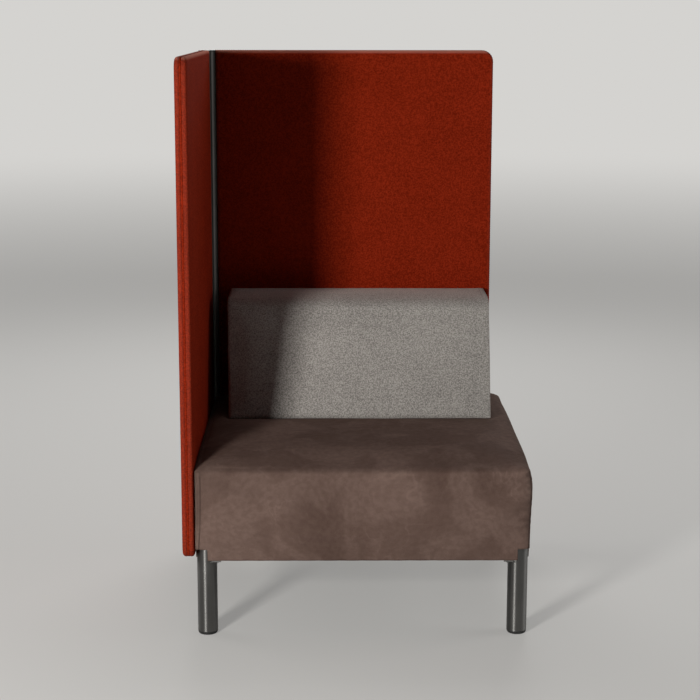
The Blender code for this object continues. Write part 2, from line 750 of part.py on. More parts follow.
def post_outline():
    """Corner post seen from above, from the corner where the screens' inner faces would meet."""
    side = SCREEN_THICKNESS
    start = -POST_LEFT + GAP
    end = POST_BACK - GAP
    shoulder = SCREEN_EDGE + POST_SHOULDER
    right = (end, shoulder)
    left = (-shoulder, start)
    facing = math.atan2(left[0] - right[0], right[1] - left[1])
    points = [(-side, start)]
    points += arc((POST_ROUND_CENTRE, -POST_ROUND_CENTRE), POST_ROUND, math.pi, math.pi / 2)
    points += [(end, side), right]
    points += arc((BEAD_X, BEAD_Y), BEAD_RADIUS, facing + BEAD_SWEEP, facing - BEAD_SWEEP, 2 * ARC_STEPS)
    points.append(left)
    return points


def build_post(bench):
    """Extruded corner post whose tongues hold both screens, with its two end caps."""
    bore_shift = (POST_ROUND - POST_WALL - POST_BORE) / math.sqrt(2)
    bore_x = POST_ROUND_CENTRE - bore_shift
    bore_y = bore_shift - POST_ROUND_CENTRE
    corner = Matrix.Translation((SCREEN_X, SCREEN_Y, SCREEN_MIDDLE))
    bore = arc((bore_x, bore_y), POST_BORE, 0.0, 2 * math.pi, BOLT_SIDES)[:-1]
    height = SCREEN_HEIGHT - 2 * (CAP_THICKNESS + GAP)
    post = bench.add("corner_post", outline_mesh([post_outline(), bore], height), "anodised", corner)

    reach = SCREEN_HEIGHT / 2 - TONGUE_END
    middle = SCREEN_THICKNESS / 2
    half = BAND_WIDTH / 2
    left_root = -POST_LEFT + GAP + TONGUE_ROOT
    back_root = POST_BACK - GAP - TONGUE_ROOT
    spans = {
        "left": ((-middle - half, -POST_LEFT - TONGUE_DEPTH), (-middle + half, left_root)),
        "back": ((back_root, middle - half), (POST_BACK + TONGUE_DEPTH, middle + half)),
    }
    tongues = []
    for label, (low, high) in spans.items():
        mesh, place = box_mesh((*low, -reach), (*high, reach))
        tongues.append(bench.add_cutter(f"post_tongue_{label}", mesh, corner @ place))
    combine(post, "UNION", tongues)

    for label, turn in (("top", 1), ("foot", -1)):
        level = turn * (SCREEN_HEIGHT / 2 - CAP_THICKNESS / 2)
        place = corner @ Matrix.Translation((0, 0, level))
        mesh = outline_mesh([post_outline()], CAP_THICKNESS)
        cap = bench.add(f"corner_post_{label}_cap", mesh, "plastic", place)
        plug = rod_mesh(POST_BORE - GAP, CAP_PLUG + CAP_THICKNESS / 2, BOLT_SIDES)
        sink = Matrix.Translation((bore_x, bore_y, level))
        facing = TURNED_OVER if turn == 1 else Matrix.Identity(4)
        combine(cap, "UNION", [bench.add_cutter(f"cap_plug_{label}", plug, corner @ sink @ facing)])


def cushion_shape(inset):
    """Rule that places the cushion's grid: upright behind, leaning in front, swollen faces."""
    half_width = CUSHION_WIDTH / 2 - inset
    low = inset
    top = CUSHION_HEIGHT - inset
    lean = math.atan2(CUSHION_BASE - CUSHION_TOP, CUSHION_HEIGHT)
    front_inset = inset / math.cos(lean)

    def shape(u, v, w):
        x = half_width * u
        z = (low + top) / 2 + (top - low) / 2 * w
        front = -CUSHION_BASE + math.tan(lean) * z + front_inset
        y = (front - inset) / 2 - (front + inset) / 2 * v
        if v == -1:
            y -= CUSHION_CROWN * hump(u) * hump(w)
        if w == 1:
            z += CUSHION_TOP_CROWN * hump(u) * hump(v)
        if abs(u) == 1:
            x += u * CUSHION_END_CROWN * hump(v) * hump(w)
        return x, y, z

    return shape


def build_cushion(bench):
    """Loose back cushion: zipped cover round a foam wedge, on an empty of its own."""
    carrier = bpy.data.objects.new("back_cushion", None)
    carrier.parent = bench.carrier
    carrier.location = (0.0, SCREEN_Y - GAP, SEAT_TOP + SEAT_CROWN + GAP)
    bench.parts.objects.link(carrier)

    divisions = (8, 4, 6)
    cover_mesh = finish_mesh(grid_bmesh(divisions, cushion_shape(0.0)), "cushion_cover")
    cover = bench.add("cushion_cover", cover_mesh, "wool", parent=carrier)
    round_edges(cover, CUSHION_ROUND)
    thicken(cover, COVER_SKIN)
    inset = COVER_SKIN + GAP + FOAM_EASE
    foam_mesh = finish_mesh(grid_bmesh(divisions, cushion_shape(inset)), "cushion_foam")
    foam = bench.add("cushion_foam", foam_mesh, "foam", parent=carrier)
    round_edges(foam, CUSHION_ROUND - inset)

    half = ZIP_LENGTH / 2
    low = ZIP_HEIGHT - ZIP_WIDTH / 2
    high = ZIP_HEIGHT + ZIP_WIDTH / 2
    slot_mesh, slot_place = box_mesh(
        (-half - GAP, -COVER_SKIN - GAP / 2, low - GAP), (half + GAP, CUT_OVERRUN, high + GAP),
    )
    slot = bench.add_cutter("zip_slot", slot_mesh, slot_place, carrier)
    combine(cover, "DIFFERENCE", [slot])
    zip_mesh, zip_place = box_mesh((-half, -COVER_SKIN, low), (half, 0.0, high))
    bench.add("cushion_zip", zip_mesh, "plastic", zip_place, carrier)


def main():
    """Build the whole bench."""
    clear_scene()
    bench = Bench()
    leg_cutters = make_leg_cutters(bench)
    bolt_holes = make_screen_bolts(bench)
    build_seat(bench, leg_cutters, bolt_holes)
    build_frame(bench, leg_cutters, bolt_holes)
    for corner, cutters in leg_cutters.items():
        build_leg(bench, corner, cutters)

    left_end = (SCREEN_X - SCREEN_THICKNESS / 2, SCREEN_Y - POST_LEFT, SCREEN_MIDDLE)
    quarter_turn = Matrix.Rotation(-math.pi / 2, 4, "Z")
    left_matrix = Matrix.Translation(left_end) @ quarter_turn @ UPRIGHT
    build_screen(bench, "left_screen", left_matrix, LEFT_SCREEN_WIDTH, -1, bolt_holes["left_screen"])
    back_end = (SCREEN_X + POST_BACK, SCREEN_Y + SCREEN_THICKNESS / 2, SCREEN_MIDDLE)
    back_matrix = Matrix.Translation(back_end) @ UPRIGHT
    build_screen(bench, "back_screen", back_matrix, BACK_SCREEN_WIDTH, 1, bolt_holes["back_screen"])
    build_post(bench)
    build_cushion(bench)


main()
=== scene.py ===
"""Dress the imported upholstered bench: suede seat, wool wedge cushion, felt screens, steel legs.

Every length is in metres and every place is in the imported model's own frame: +X to the right as
seen from the front, +Y towards the back screen, +Z up.
"""

import json
import logging
import math
from dataclasses import dataclass, field
from enum import Enum
from typing import Callable, Iterable, Sequence

import bmesh
import bpy
import numpy as np
from mathutils import Matrix, Vector
from mathutils import noise as smooth_noise

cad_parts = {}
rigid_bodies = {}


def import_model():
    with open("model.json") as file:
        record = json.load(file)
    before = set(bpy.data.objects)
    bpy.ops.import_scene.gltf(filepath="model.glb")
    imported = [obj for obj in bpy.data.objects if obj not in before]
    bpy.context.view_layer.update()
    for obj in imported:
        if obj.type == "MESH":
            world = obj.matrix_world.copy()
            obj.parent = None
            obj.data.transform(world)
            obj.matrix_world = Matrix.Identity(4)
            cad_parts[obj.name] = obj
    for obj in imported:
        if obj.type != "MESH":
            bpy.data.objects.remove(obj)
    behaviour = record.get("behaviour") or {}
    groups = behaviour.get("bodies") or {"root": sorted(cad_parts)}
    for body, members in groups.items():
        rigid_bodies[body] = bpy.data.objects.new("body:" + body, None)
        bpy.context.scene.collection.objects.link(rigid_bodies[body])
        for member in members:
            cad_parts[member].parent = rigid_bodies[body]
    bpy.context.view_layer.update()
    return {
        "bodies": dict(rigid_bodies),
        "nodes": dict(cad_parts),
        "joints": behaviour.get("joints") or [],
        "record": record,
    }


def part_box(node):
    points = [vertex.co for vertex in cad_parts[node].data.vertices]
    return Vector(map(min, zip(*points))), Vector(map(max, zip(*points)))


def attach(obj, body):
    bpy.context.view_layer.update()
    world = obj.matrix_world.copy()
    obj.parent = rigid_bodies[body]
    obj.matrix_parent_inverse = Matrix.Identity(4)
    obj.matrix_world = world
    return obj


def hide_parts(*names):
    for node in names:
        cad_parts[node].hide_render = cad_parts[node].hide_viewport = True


LOG = logging.getLogger("bench")
SEED = 11
TINY = 1e-9
WELD = 1e-5
TOUCH = 1e-4
CORNERS = ("front_left", "front_right", "rear_left", "rear_right")
TUBE_GRAIN = "tube_grain"
# Name of the per-vertex attribute that holds painted light: painted sheen and painted shade.
PAINTED_LIGHT = "painted_light"
CUSHION_SINK = 0.0045
SEWING_THREAD = 0.0004

Array = np.ndarray
Colour = tuple[float, float, float]
Place = tuple[float, float, float]
Material = bpy.types.Material
Mesh = bpy.types.Mesh
Node = bpy.types.Node
Piece = bpy.types.Object
Socket = bpy.types.NodeSocket
Tree = bpy.types.NodeTree


class Body(Enum):
    """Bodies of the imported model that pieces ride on."""

    BENCH = "bench"
    CUSHION = "back_cushion"
    GLIDE_FRONT_LEFT = "glide_front_left"
    GLIDE_FRONT_RIGHT = "glide_front_right"
    GLIDE_REAR_LEFT = "glide_rear_left"
    GLIDE_REAR_RIGHT = "glide_rear_right"


class Slot(Enum):
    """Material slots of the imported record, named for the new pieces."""

    SUEDE = "suede"
    FELT = "felt"
    WOOL = "wool"
    WEBBING = "webbing"
    STEEL = "steel"
    ZINC = "zinc"
    PLASTIC = "plastic"
    ANODISED = "anodised"


# Meshes


def new_mesh(name: str, points: Sequence, faces: Sequence) -> Mesh:
    """Make a smooth mesh from points and faces.

    Args:
        name: the mesh's name.
        points: places of the vertices.
        faces: rings of vertex numbers.

    Returns:
        The mesh.
    """
    mesh = bpy.data.meshes.new(name)
    mesh.from_pydata([tuple(map(float, p)) for p in points], [], [list(map(int, f)) for f in faces])
    mesh.update()
    mesh.shade_smooth()
    return mesh


def mesh_of(bm: bmesh.types.BMesh, name: str, sharp: float) -> Mesh:
    """Turn a working mesh into a smooth one, and free it.

    Args:
        bm: the working mesh.
        name: the new mesh's name.
        sharp: angle in degrees past which an edge stays sharp.

    Returns:
        The mesh.
    """
    mesh = bpy.data.meshes.new(name)
    bm.to_mesh(mesh)
    bm.free()
    mesh.shade_smooth()
    mesh.set_sharp_from_angle(angle=math.radians(sharp))
    return mesh


def new_object(name: str, data: bpy.types.ID) -> Piece:
    """Put a mesh, a camera or a lamp in the scene, at the origin.

    Args:
        name: the object's name.
        data: what it shows.

    Returns:
        The object.
    """
    piece = bpy.data.objects.new(name, data)
    bpy.context.scene.collection.objects.link(piece)
    return piece


def points_of(mesh: Mesh) -> Array:
    """Read the places of a mesh's vertices."""
    points = np.empty(len(mesh.vertices) * 3)
    mesh.vertices.foreach_get("co", points)
    return points.reshape(-1, 3)


def put_points(mesh: Mesh, points: Array) -> None:
    """Move a mesh's vertices to new places."""
    mesh.vertices.foreach_set("co", np.ascontiguousarray(points, dtype=np.float32).ravel())
    mesh.update()


def normals_of(mesh: Mesh) -> Array:
    """Read the outward directions of a mesh's vertices."""
    normals = np.empty(len(mesh.vertices) * 3)
    mesh.vertex_normals.foreach_get("vector", normals)
    return normals.reshape(-1, 3)


def put_painted_light(mesh: Mesh, painted_light: Array) -> None:
    """Keep each vertex's painted light: above 0 the share of painted sheen on felt and wool, below 0 the
    painted shade in the suede's seams and folds.
    """
    layer = mesh.attributes.new(PAINTED_LIGHT, "FLOAT", "POINT")
    layer.data.foreach_set("value", np.ascontiguousarray(painted_light, dtype=np.float32))


def evaluated_mesh(piece: Piece) -> Mesh:
    """Copy an object's mesh with its modifiers applied."""
    bpy.context.view_layer.update()
    depsgraph = bpy.context.evaluated_depsgraph_get()
    return bpy.data.meshes.new_from_object(piece.evaluated_get(depsgraph))


def thicken(piece: Piece, thickness: float, outward: bool = False) -> None:
    """Give an open surface its thickness, inwards or outwards."""
    wall = piece.modifiers.new("thickness", "SOLIDIFY")
    wall.thickness = thickness
    wall.offset = 1.0 if outward else -1.0


def turned_mesh(name: str, profile: Sequence[tuple[float, float]], sides: int, ring: bool = False) -> Mesh:
    """Turn a profile about the Z axis.

    Args:
        name: the mesh's name.
        profile: radii and heights, down the outer side.
        sides: steps round the axis.
        ring: True where the profile closes on itself, False where it starts and ends on the axis.

    Returns:
        The mesh, with its faces pointing out.
    """
    bm = bmesh.new()
    angles = [math.tau * step / sides for step in range(sides)]
    loops = []
    for radius, height in profile:
        if radius == 0.0:
            loops.append([bm.verts.new((0.0, 0.0, height))] * sides)
            continue
        loops.append([bm.verts.new((radius * math.cos(a), radius * math.sin(a), height)) for a in angles])
    pairs = list(zip(loops, loops[1:]))
    if ring:
        pairs.append((loops[-1], loops[0]))
    for upper, lower in pairs:
        for step in range(sides):
            after = (step + 1) % sides
            corners = (upper[step], lower[step], lower[after], upper[after])
            bm.faces.new(list(dict.fromkeys(corners)))
    bmesh.ops.recalc_face_normals(bm, faces=bm.faces)
    return mesh_of(bm, name, 35)


def stitch_mesh(name: str, radius: float, length: float) -> Mesh:
    """Make one stitch: a short rod with round ends, along Z.

    Args:
        name: the mesh's name.
        radius: the thread's radius.
        length: the stitch's length.

    Returns:
        The mesh.
    """
    half = length / 2
    upper = [(0.0, half), (radius * 0.7, half - radius * 0.3), (radius, half - radius)]
    lower = [(reach, -height) for reach, height in reversed(upper)]
    return turned_mesh(name, upper + lower, 6)


def softened_box(name: str, size: Place, edge: float, place: Place = (0.0, 0.0, 0.0)) -> Mesh:
    """Make a small block with rounded edges.

    Args:
        name: the mesh's name.
        size: its three lengths.
        edge: width of its rounded edges.
        place: where its middle is.

    Returns:
        The mesh.
    """
    bm = bmesh.new()
    bmesh.ops.create_cube(bm, size=1.0)
    bmesh.ops.scale(bm, vec=size, verts=bm.verts)
    bmesh.ops.bevel(bm, geom=bm.edges[:], offset=edge, segments=2, profile=0.5, affect="EDGES")
    mesh = mesh_of(bm, name, 50)
    mesh.transform(Matrix.Translation(place))
    return mesh


def joined(name: str, meshes: Sequence[Mesh]) -> Piece:
    """Put several meshes in one object.

    Args:
        name: the object's name.
        meshes: the meshes.

    Returns:
        The object.
    """
    bm = bmesh.new()
    for mesh in meshes:
        bm.from_mesh(mesh)
    return new_object(name, mesh_of(bm, name, 45))


@dataclass
class BlockSkin:
    """Skin of a block on a lattice of three axes, with each point's number kept by its place there.

    Attributes:
        axes: lattice lines along X, Y and Z.
        keeps: says whether a face stays, from its axis, its end (0 or 1) and its middle.
        points: places of the vertices.
        quads: rings of vertex numbers, pointing out.
        number: vertex number by lattice place.
    """

    axes: tuple[Array, Array, Array]
    keeps: Callable[[int, int, Vector], bool]
    points: list[Place] = field(default_factory=list)
    quads: list[list[int]] = field(default_factory=list)
    number: dict[tuple[int, int, int], int] = field(default_factory=dict)

    def __post_init__(self) -> None:
        """Lay the six gridded sides."""
        for axis in range(3):
            for end in (0, 1):
                self._add_side(axis, end)

    @property
    def last(self) -> tuple[int, int, int]:
        """Number of the last lattice line along each axis."""
        return tuple(len(lines) - 1 for lines in self.axes)

    def _add_side(self, axis: int, end: int) -> None:
        """Add one gridded side of the block.

        Args:
            axis: the axis that the side looks along.
            end: 0 for its low side, 1 for its high one.
        """
        across, along = (axis + 1) % 3, (axis + 2) % 3
        for a in range(self.last[across]):
            for b in range(self.last[along]):
                ring = []
                for step_a, step_b in ((0, 0), (1, 0), (1, 1), (0, 1)):
                    spot = [0, 0, 0]
                    spot[axis], spot[across], spot[along] = end * self.last[axis], a + step_a, b + step_b
                    ring.append(tuple(spot))
                middle = (self._at(ring[0]) + self._at(ring[2])) / 2
                if self.keeps(axis, end, middle):
                    numbers = [self._vertex(spot) for spot in ring]
                    self.quads.append(numbers if end else numbers[::-1])

    def _at(self, spot: tuple[int, int, int]) -> Vector:
        """Find a lattice place on the plain block."""
        return Vector([self.axes[axis][index] for axis, index in enumerate(spot)])

    def _vertex(self, spot: tuple[int, int, int]) -> int:
        """Find or add the vertex at a lattice place."""
        if spot not in self.number:
            self.number[spot] = len(self.points)
            self.points.append(tuple(self._at(spot)))
        return self.number[spot]


def block_lines(low: float, high: float, near: float, far: float, steps: int, pitch: float,
                extra: Iterable[float] = ()) -> Array:
    """Choose lattice lines along one axis: close together at the rounded ends, wider between.

    Args:
        low: lower end.
        high: higher end.
        near: reach of the rounded edge at the lower end, or 0 where it isn't rounded.
        far: reach of the rounded edge at the higher end.
        steps: lines across half of a rounded edge.
        pitch: about how far apart the lines are between the ends.
        extra: lines that have to be there.

    Returns:
        The lines, in order.
    """
    arc = [math.tan(math.pi / 4 * step / steps) for step in range(1, steps + 1)]
    stops = sorted({low + near, high - far, *extra})
    lines = [low + near - near * reach for reach in reversed(arc)] if near else []
    for first, last in zip(stops, stops[1:]):
        count = max(1, round((last - first) / pitch))
        lines += list(np.linspace(first, last, count, endpoint=False))
    return np.array(lines + [high - far] + [high - far + far * reach for reach in arc])


def round_block(points: Array, low: Place, high: Place, near: Place, far: Place) -> Array:
    """Round a block's edges and corners.

    Args:
        points: places on the plain block.
        low: lowest corner of the block.
        high: highest corner of the block.
        near: reach of the rounding along each axis, at the low ends.
        far: reach of the rounding along each axis, at the high ends.

    Returns:
        The moved points.
    """
    inner_low = np.array(low) + near
    core = np.clip(points, inner_low, np.array(high) - far)
    radii = np.maximum(np.where(points < inner_low, near, far), WELD)
    reach = (points - core) / radii
    length = np.linalg.norm(reach, axis=1, keepdims=True)
    return core + np.where(length > TINY, reach / np.maximum(length, TINY), 0.0) * radii


def ease(share: Array) -> Array:
    """Smooth step from 0 to 1."""
    part = np.clip(share, 0.0, 1.0)
    return part * part * (3.0 - 2.0 * part)


def shoulder(share: Array) -> Array:
    """Fall of a quarter circle: 0 where it starts and 1 where it ends, upright."""
    part = np.clip(share, 0.0, 1.0)
    return 1.0 - np.sqrt(1.0 - part ** 2)


def hump(share: Array, power: int = 4) -> Array:
    """Swelling across a padded face: 1 in its middle and 0 at both edges."""
    return np.clip(1.0 - np.abs(share) ** power, 0.0, 1.0)


def bell(distance: Array, width: float) -> Array:
    """Soft bump that is 1 at distance 0."""
    return np.exp(-(distance / width) ** 2)


def unevenness(points: Array, scale: float) -> Array:
    """Smooth random field from about -1 to 1, the same at each run."""
    return np.array([smooth_noise.noise(Vector(p) * scale + Vector((SEED, SEED, SEED))) for p in points])


# Node trees


class Graph:
    """Short way to add and join the nodes of one tree."""

    def __init__(self, tree: Tree) -> None:
        """Start with an empty tree."""
        self.tree = tree
        tree.nodes.clear()

    @classmethod
    def group(cls, kind: str, name: str, inputs: dict[str, str | float],
              outputs: dict[str, str]) -> tuple["Graph", Node]:
        """Start a node group with named sockets.

        Args:
            kind: Blender's name of the tree type.
            name: the group's name.
            inputs: by name, the default of a number or the kind of another socket.
            outputs: kind of each socket by name.

        Returns:
            The group's graph and its input node.
        """
        tree = bpy.data.node_groups.new(name, kind)
        for label, given in inputs.items():
            number = isinstance(given, float)
            socket_kind = f"NodeSocket{'Float' if number else given}"
            socket = tree.interface.new_socket(label, in_out="INPUT", socket_type=socket_kind)
            if number:
                socket.default_value = given
        for label, given in outputs.items():
            tree.interface.new_socket(label, in_out="OUTPUT", socket_type=f"NodeSocket{given}")
        graph = cls(tree)
        return graph, graph.node("NodeGroupInput")

    def node(self, kind: str, inputs: dict | None = None, **settings) -> Node:
        """Add a node.

        Args:
            kind: Blender's name of the node type.
            inputs: values of its sockets, or the sockets that feed them.
            settings: the node's own properties.

        Returns:
            The node.
        """
        made = self.tree.nodes.new(kind)
        for key, value in settings.items():
            setattr(made, key, value)
        for key, value in (inputs or {}).items():
            if isinstance(value, Socket):
                self.tree.links.new(value, made.inputs[key])
            else:
                made.inputs[key].default_value = value
        return made

    def noise(self, vector: Socket, scale: float | Socket, detail: float = 2.0,
              distortion: float = 0.0) -> Socket:
        """Add a noise pattern and give its value."""
        inputs = {"Vector": vector, "Scale": scale, "Detail": detail, "Distortion": distortion}
        return self.node("ShaderNodeTexNoise", inputs).outputs[0]

    def math(self, operation: str, first: float | Socket, second: float | Socket = 0.0) -> Socket:
        """Add a sum of numbers and give its result."""
        return self.node("ShaderNodeMath", {0: first, 1: second}, operation=operation).outputs[0]

    def vector(self, operation: str, *operands: Place | Socket) -> Socket:
        """Add a sum of vectors and give its result."""
        return self.node("ShaderNodeVectorMath", dict(enumerate(operands)), operation=operation).outputs[0]

    def weighted(self, *parts: tuple[Socket, float | Socket]) -> Socket:
        """Add values up, each times its weight.

        Args:
            parts: values and their weights.

        Returns:
            The sum.
        """
        shares = [self.math("MULTIPLY", value, weight) for value, weight in parts]
        total = shares[0]
        for share in shares[1:]:
            total = self.math("ADD", total, share)
        return total

    def blend(self, factor: Socket, first: Socket | Sequence, second: Socket | Sequence) -> Socket:
        """Mix two colours."""
        inputs = {0: factor, 6: first, 7: second}
        return self.node("ShaderNodeMix", inputs, data_type="RGBA").outputs[2]

    def between(self, value: Socket, low: float, high: float, first: float = 0.0,
                last: float = 1.0) -> Socket:
        """Turn a range of a value into another one, with soft ends."""
        inputs = {0: value, 1: low, 2: high, 3: first, 4: last}
        return self.node("ShaderNodeMapRange", inputs, interpolation_type="SMOOTHSTEP").outputs[0]


def rgba(colour: Colour) -> tuple[float, float, float, float]:
    """Add full opacity to a colour."""
    return (*colour, 1.0)


class SharedEffects:
    """Shader node groups that several finishes use."""

    def __init__(self) -> None:
        """Build each group once."""
        self.fibres = self._fibres()
        self.streaks = self._streaks()
        self.tone = self._tone()

    @staticmethod
    def _fibres() -> Tree:
        """Matted fibres of mixed colours: fine hairs, flecks and broad clouds."""
        sockets = {
            "Vector": "Vector", "Hair Scale": 900.0, "Fleck Scale": 260.0, "Cloud Scale": 9.0,
            "Fleck Share": 0.5, "Cloud": 0.04,
        }
        outputs = {"Mix": "Float", "Height": "Float"}
        graph, start = Graph.group("ShaderNodeTree", "matted_fibres", sockets, outputs)
        vector, share = start.outputs["Vector"], start.outputs["Fleck Share"]
        hair = graph.noise(vector, start.outputs["Hair Scale"], 3.0, 0.8)
        fleck = graph.noise(vector, start.outputs["Fleck Scale"], 2.0, 0.1)
        cloud = graph.noise(vector, start.outputs["Cloud Scale"], 2.0)
        mixed = graph.weighted(
            (graph.between(fleck, 0.32, 0.68), share),
            (graph.between(hair, 0.25, 0.75), graph.math("SUBTRACT", 1.0, share)),
            (graph.between(cloud, 0.3, 0.7, -1.0, 1.0), start.outputs["Cloud"]),
        )
        height = graph.weighted((hair, 0.6), (fleck, 0.4))
        graph.node("NodeGroupOutput", {"Mix": mixed, "Height": height})
        return graph.tree

    @staticmethod
    def _streaks() -> Tree:
        """Fine lines drawn along one direction: brushed metal, wood grain, extrusion lines."""
        sockets = {"Vector": "Vector", "Stretch": "Vector", "Scale": 400.0}
        outputs = {"Streak": "Float", "Height": "Float"}
        graph, start = Graph.group("ShaderNodeTree", "drawn_streaks", sockets, outputs)
        drawn = graph.vector("MULTIPLY", start.outputs["Vector"], start.outputs["Stretch"])
        fine = graph.noise(drawn, start.outputs["Scale"], 3.0)
        broad = graph.noise(drawn, graph.math("MULTIPLY", start.outputs["Scale"], 0.21), 2.0, 0.4)
        streak = graph.between(graph.weighted((fine, 0.6), (broad, 0.4)), 0.3, 0.7)
        graph.node("NodeGroupOutput", {"Streak": streak, "Height": fine})
        return graph.tree

    @staticmethod
    def _tone() -> Tree:
        """Slow change of brightness over a surface, about 1."""
        sockets = {"Vector": "Vector", "Scale": 6.0, "Amount": 0.1}
        graph, start = Graph.group("ShaderNodeTree", "uneven_tone", sockets, {"Tone": "Float"})
        cloud = graph.noise(start.outputs["Vector"], start.outputs["Scale"], 3.0, 0.6)
        swing = graph.math("MULTIPLY", graph.between(cloud, 0.3, 0.7, -1.0, 1.0), start.outputs["Amount"])
        graph.node("NodeGroupOutput", {"Tone": graph.math("ADD", 1.0, swing)})
        return graph.tree


class Dresser:
    """Material under construction: its shader, its Object coordinates and the shared effects."""

    def __init__(self, name: str, effects: SharedEffects) -> None:
        """Start a material.

        Args:
            name: the material's name.
            effects: the shared node groups.
        """
        self.material = bpy.data.materials.new(name)
        self.material.use_nodes = True
        self.effects = effects
        self.graph = Graph(self.material.node_tree)
        self.shader = self.graph.node("ShaderNodeBsdfPrincipled")
        self.graph.node("ShaderNodeOutputMaterial", {"Surface": self.shader.outputs[0]})
        self.where = self.graph.node("ShaderNodeTexCoord").outputs["Object"]

    def plain(self, **values: float | Sequence) -> None:
        """Set sockets that are the same all over, by name with _ for a space."""
        for key, value in values.items():
            self.shader.inputs[key.replace("_", " ").title().replace("Ior", "IOR")].default_value = value

    def group(self, tree: Tree, **inputs: float | Place) -> Node:
        """Place a shared effect, on Object coordinates.

        Args:
            tree: the effect's node group.
            inputs: its values, by name with _ for a space.

        Returns:
            The group's node.
        """
        made = self.graph.node("ShaderNodeGroup", node_tree=tree)
        self.graph.tree.links.new(self.where, made.inputs["Vector"])
        for key, value in inputs.items():
            made.inputs[key.replace("_", " ").title()].default_value = value
        return made

    def painted_light(self) -> Socket:
        """Read the painted light at each place: painted sheen above 0, painted shade below 0, and 0 on pieces
        that keep none.
        """
        return self.graph.node("ShaderNodeAttribute", attribute_name=PAINTED_LIGHT).outputs["Fac"]

    def colour(self, socket: Socket, tone_scale: float, tone_amount: float, wear_and_painted_light: bool = False) -> None:
        """Feed the base colour through the slow change of tone and, on a nap, its painted shade.

        Args:
            socket: the colour.
            tone_scale: scale of the slow change.
            tone_amount: how far it goes up and down.
            wear_and_painted_light: True where the piece's painted light, the painted shade in its seams and
                folds, is added to its tone.
        """
        tone = self.group(self.effects.tone, scale=tone_scale, amount=tone_amount).outputs["Tone"]
        if wear_and_painted_light:
            tone = self.graph.math("ADD", tone, self.painted_light())
        toned = self.graph.node("ShaderNodeVectorMath", {0: socket, 3: tone}, operation="SCALE")
        self.feed("Base Color", toned.outputs[0])

    def feed(self, name: str, socket: Socket) -> None:
        """Feed one of the shader's sockets."""
        self.graph.tree.links.new(socket, self.shader.inputs[name])

    def relief(self, height: Socket, depth: float) -> None:
        """Feed the shader's normal with a fine relief."""
        bump = self.graph.node("ShaderNodeBump", {"Height": height, "Distance": depth, "Strength": 1.0})
        self.feed("Normal", bump.outputs[0])


@dataclass(frozen=True)
class MattedCloth:
    """Felted wool of mixed fibres, with a painted sheen of its sheen colour where the piece's painted light
    is above 0.
    """

    name: str
    deep: Colour
    bright: Colour
    fuzz_and_sheen: Colour
    hair_scale: float
    fleck_scale: float
    fleck_share: float
    relief: float
    sheen: float

    def build(self, effects: SharedEffects) -> Material:
        """Make the material."""
        dresser = Dresser(self.name, effects)
        fibres = dresser.group(
            effects.fibres, hair_scale=self.hair_scale, fleck_scale=self.fleck_scale,
            fleck_share=self.fleck_share,
        )
        mixed = dresser.graph.blend(fibres.outputs["Mix"], rgba(self.deep), rgba(self.bright))
        # painted sheen: the piece's painted light blends in the sheen colour, on rolled edges, top edges and
        # seam ridges
        mixed = dresser.graph.blend(dresser.painted_light(), mixed, rgba(self.fuzz_and_sheen))
        dresser.colour(mixed, tone_scale=5.0, tone_amount=0.02)
        dresser.relief(fibres.outputs["Height"], self.relief)
        dresser.plain(
            roughness=0.95, specular_ior_level=0.01, sheen_weight=self.sheen, sheen_roughness=0.5,
            sheen_tint=rgba(self.fuzz_and_sheen),
        )
        return dresser.material


@dataclass(frozen=True)
class BrushedSuede:
    """Suede-like fabric whose nap lies in soft patches, as hands and seats leave it."""

    name: str = "brushed_suede"
    dark: Colour = (0.078, 0.046, 0.036)
    light: Colour = (0.172, 0.115, 0.095)
    drift_scale: float = 4.5
    drift: float = 0.08
    broad_scale: float = 3.6
    patch_scale: float = 9.0
    stroke_scale: float = 75.0
    mark_scale: float = 13.0
    mark_width: float = 0.035
    mark_area_scale: float = 6.5

    def build(self, effects: SharedEffects) -> Material:
        """Make the material."""
        dresser = Dresser(self.name, effects)
        graph, where = dresser.graph, dresser.where
        wander = graph.node("ShaderNodeTexNoise", {"Vector": where, "Scale": self.drift_scale, "Detail": 1.0})
        swing = graph.vector("SUBTRACT", wander.outputs["Color"], (0.5, 0.5, 0.5))
        stroked = graph.vector("MULTIPLY_ADD", swing, (self.drift,) * 3, where)
        upright = graph.vector("MULTIPLY", stroked, (1.0, 1.0, 1.2))
        broad = graph.between(graph.noise(stroked, self.broad_scale, 2.0, 0.2), 0.34, 0.66)
        patches = graph.between(graph.noise(stroked, self.patch_scale, 5.0, 0.25), 0.43, 0.58)
        strokes = graph.between(graph.noise(upright, self.stroke_scale, 4.0, 0.2), 0.30, 0.70)
        masked = graph.math("MULTIPLY", strokes, graph.between(patches, 0.0, 1.0, 0.6, 1.0))
        crease = graph.math("SUBTRACT", graph.noise(stroked, self.mark_scale, 4.0, 0.5), 0.5)
        marks = graph.between(graph.math("ABSOLUTE", crease), self.mark_width, 0.0)
        shown = graph.between(graph.noise(where, self.mark_area_scale, 2.0), 0.47, 0.62)
        pile = dresser.group(effects.fibres, hair_scale=1400.0, fleck_scale=420.0, fleck_share=0.3)
        nap = graph.weighted(
            (broad, 0.24), (patches, 0.25), (graph.math("MULTIPLY", marks, shown), 0.20), (masked, 0.28),
            (pile.outputs["Mix"], 0.24),
        )
        mixed = graph.blend(nap, rgba(self.dark), rgba(self.light))
        dresser.colour(mixed, tone_scale=2.2, tone_amount=0.07, wear_and_painted_light=True)
        dresser.relief(graph.weighted((pile.outputs["Height"], 1.0), (strokes, 0.5)), 0.0003)
        dresser.plain(
            roughness=0.92, specular_ior_level=0.12, sheen_weight=0.10, sheen_roughness=0.45,
            sheen_tint=rgba(self.light),
        )
        return dresser.material


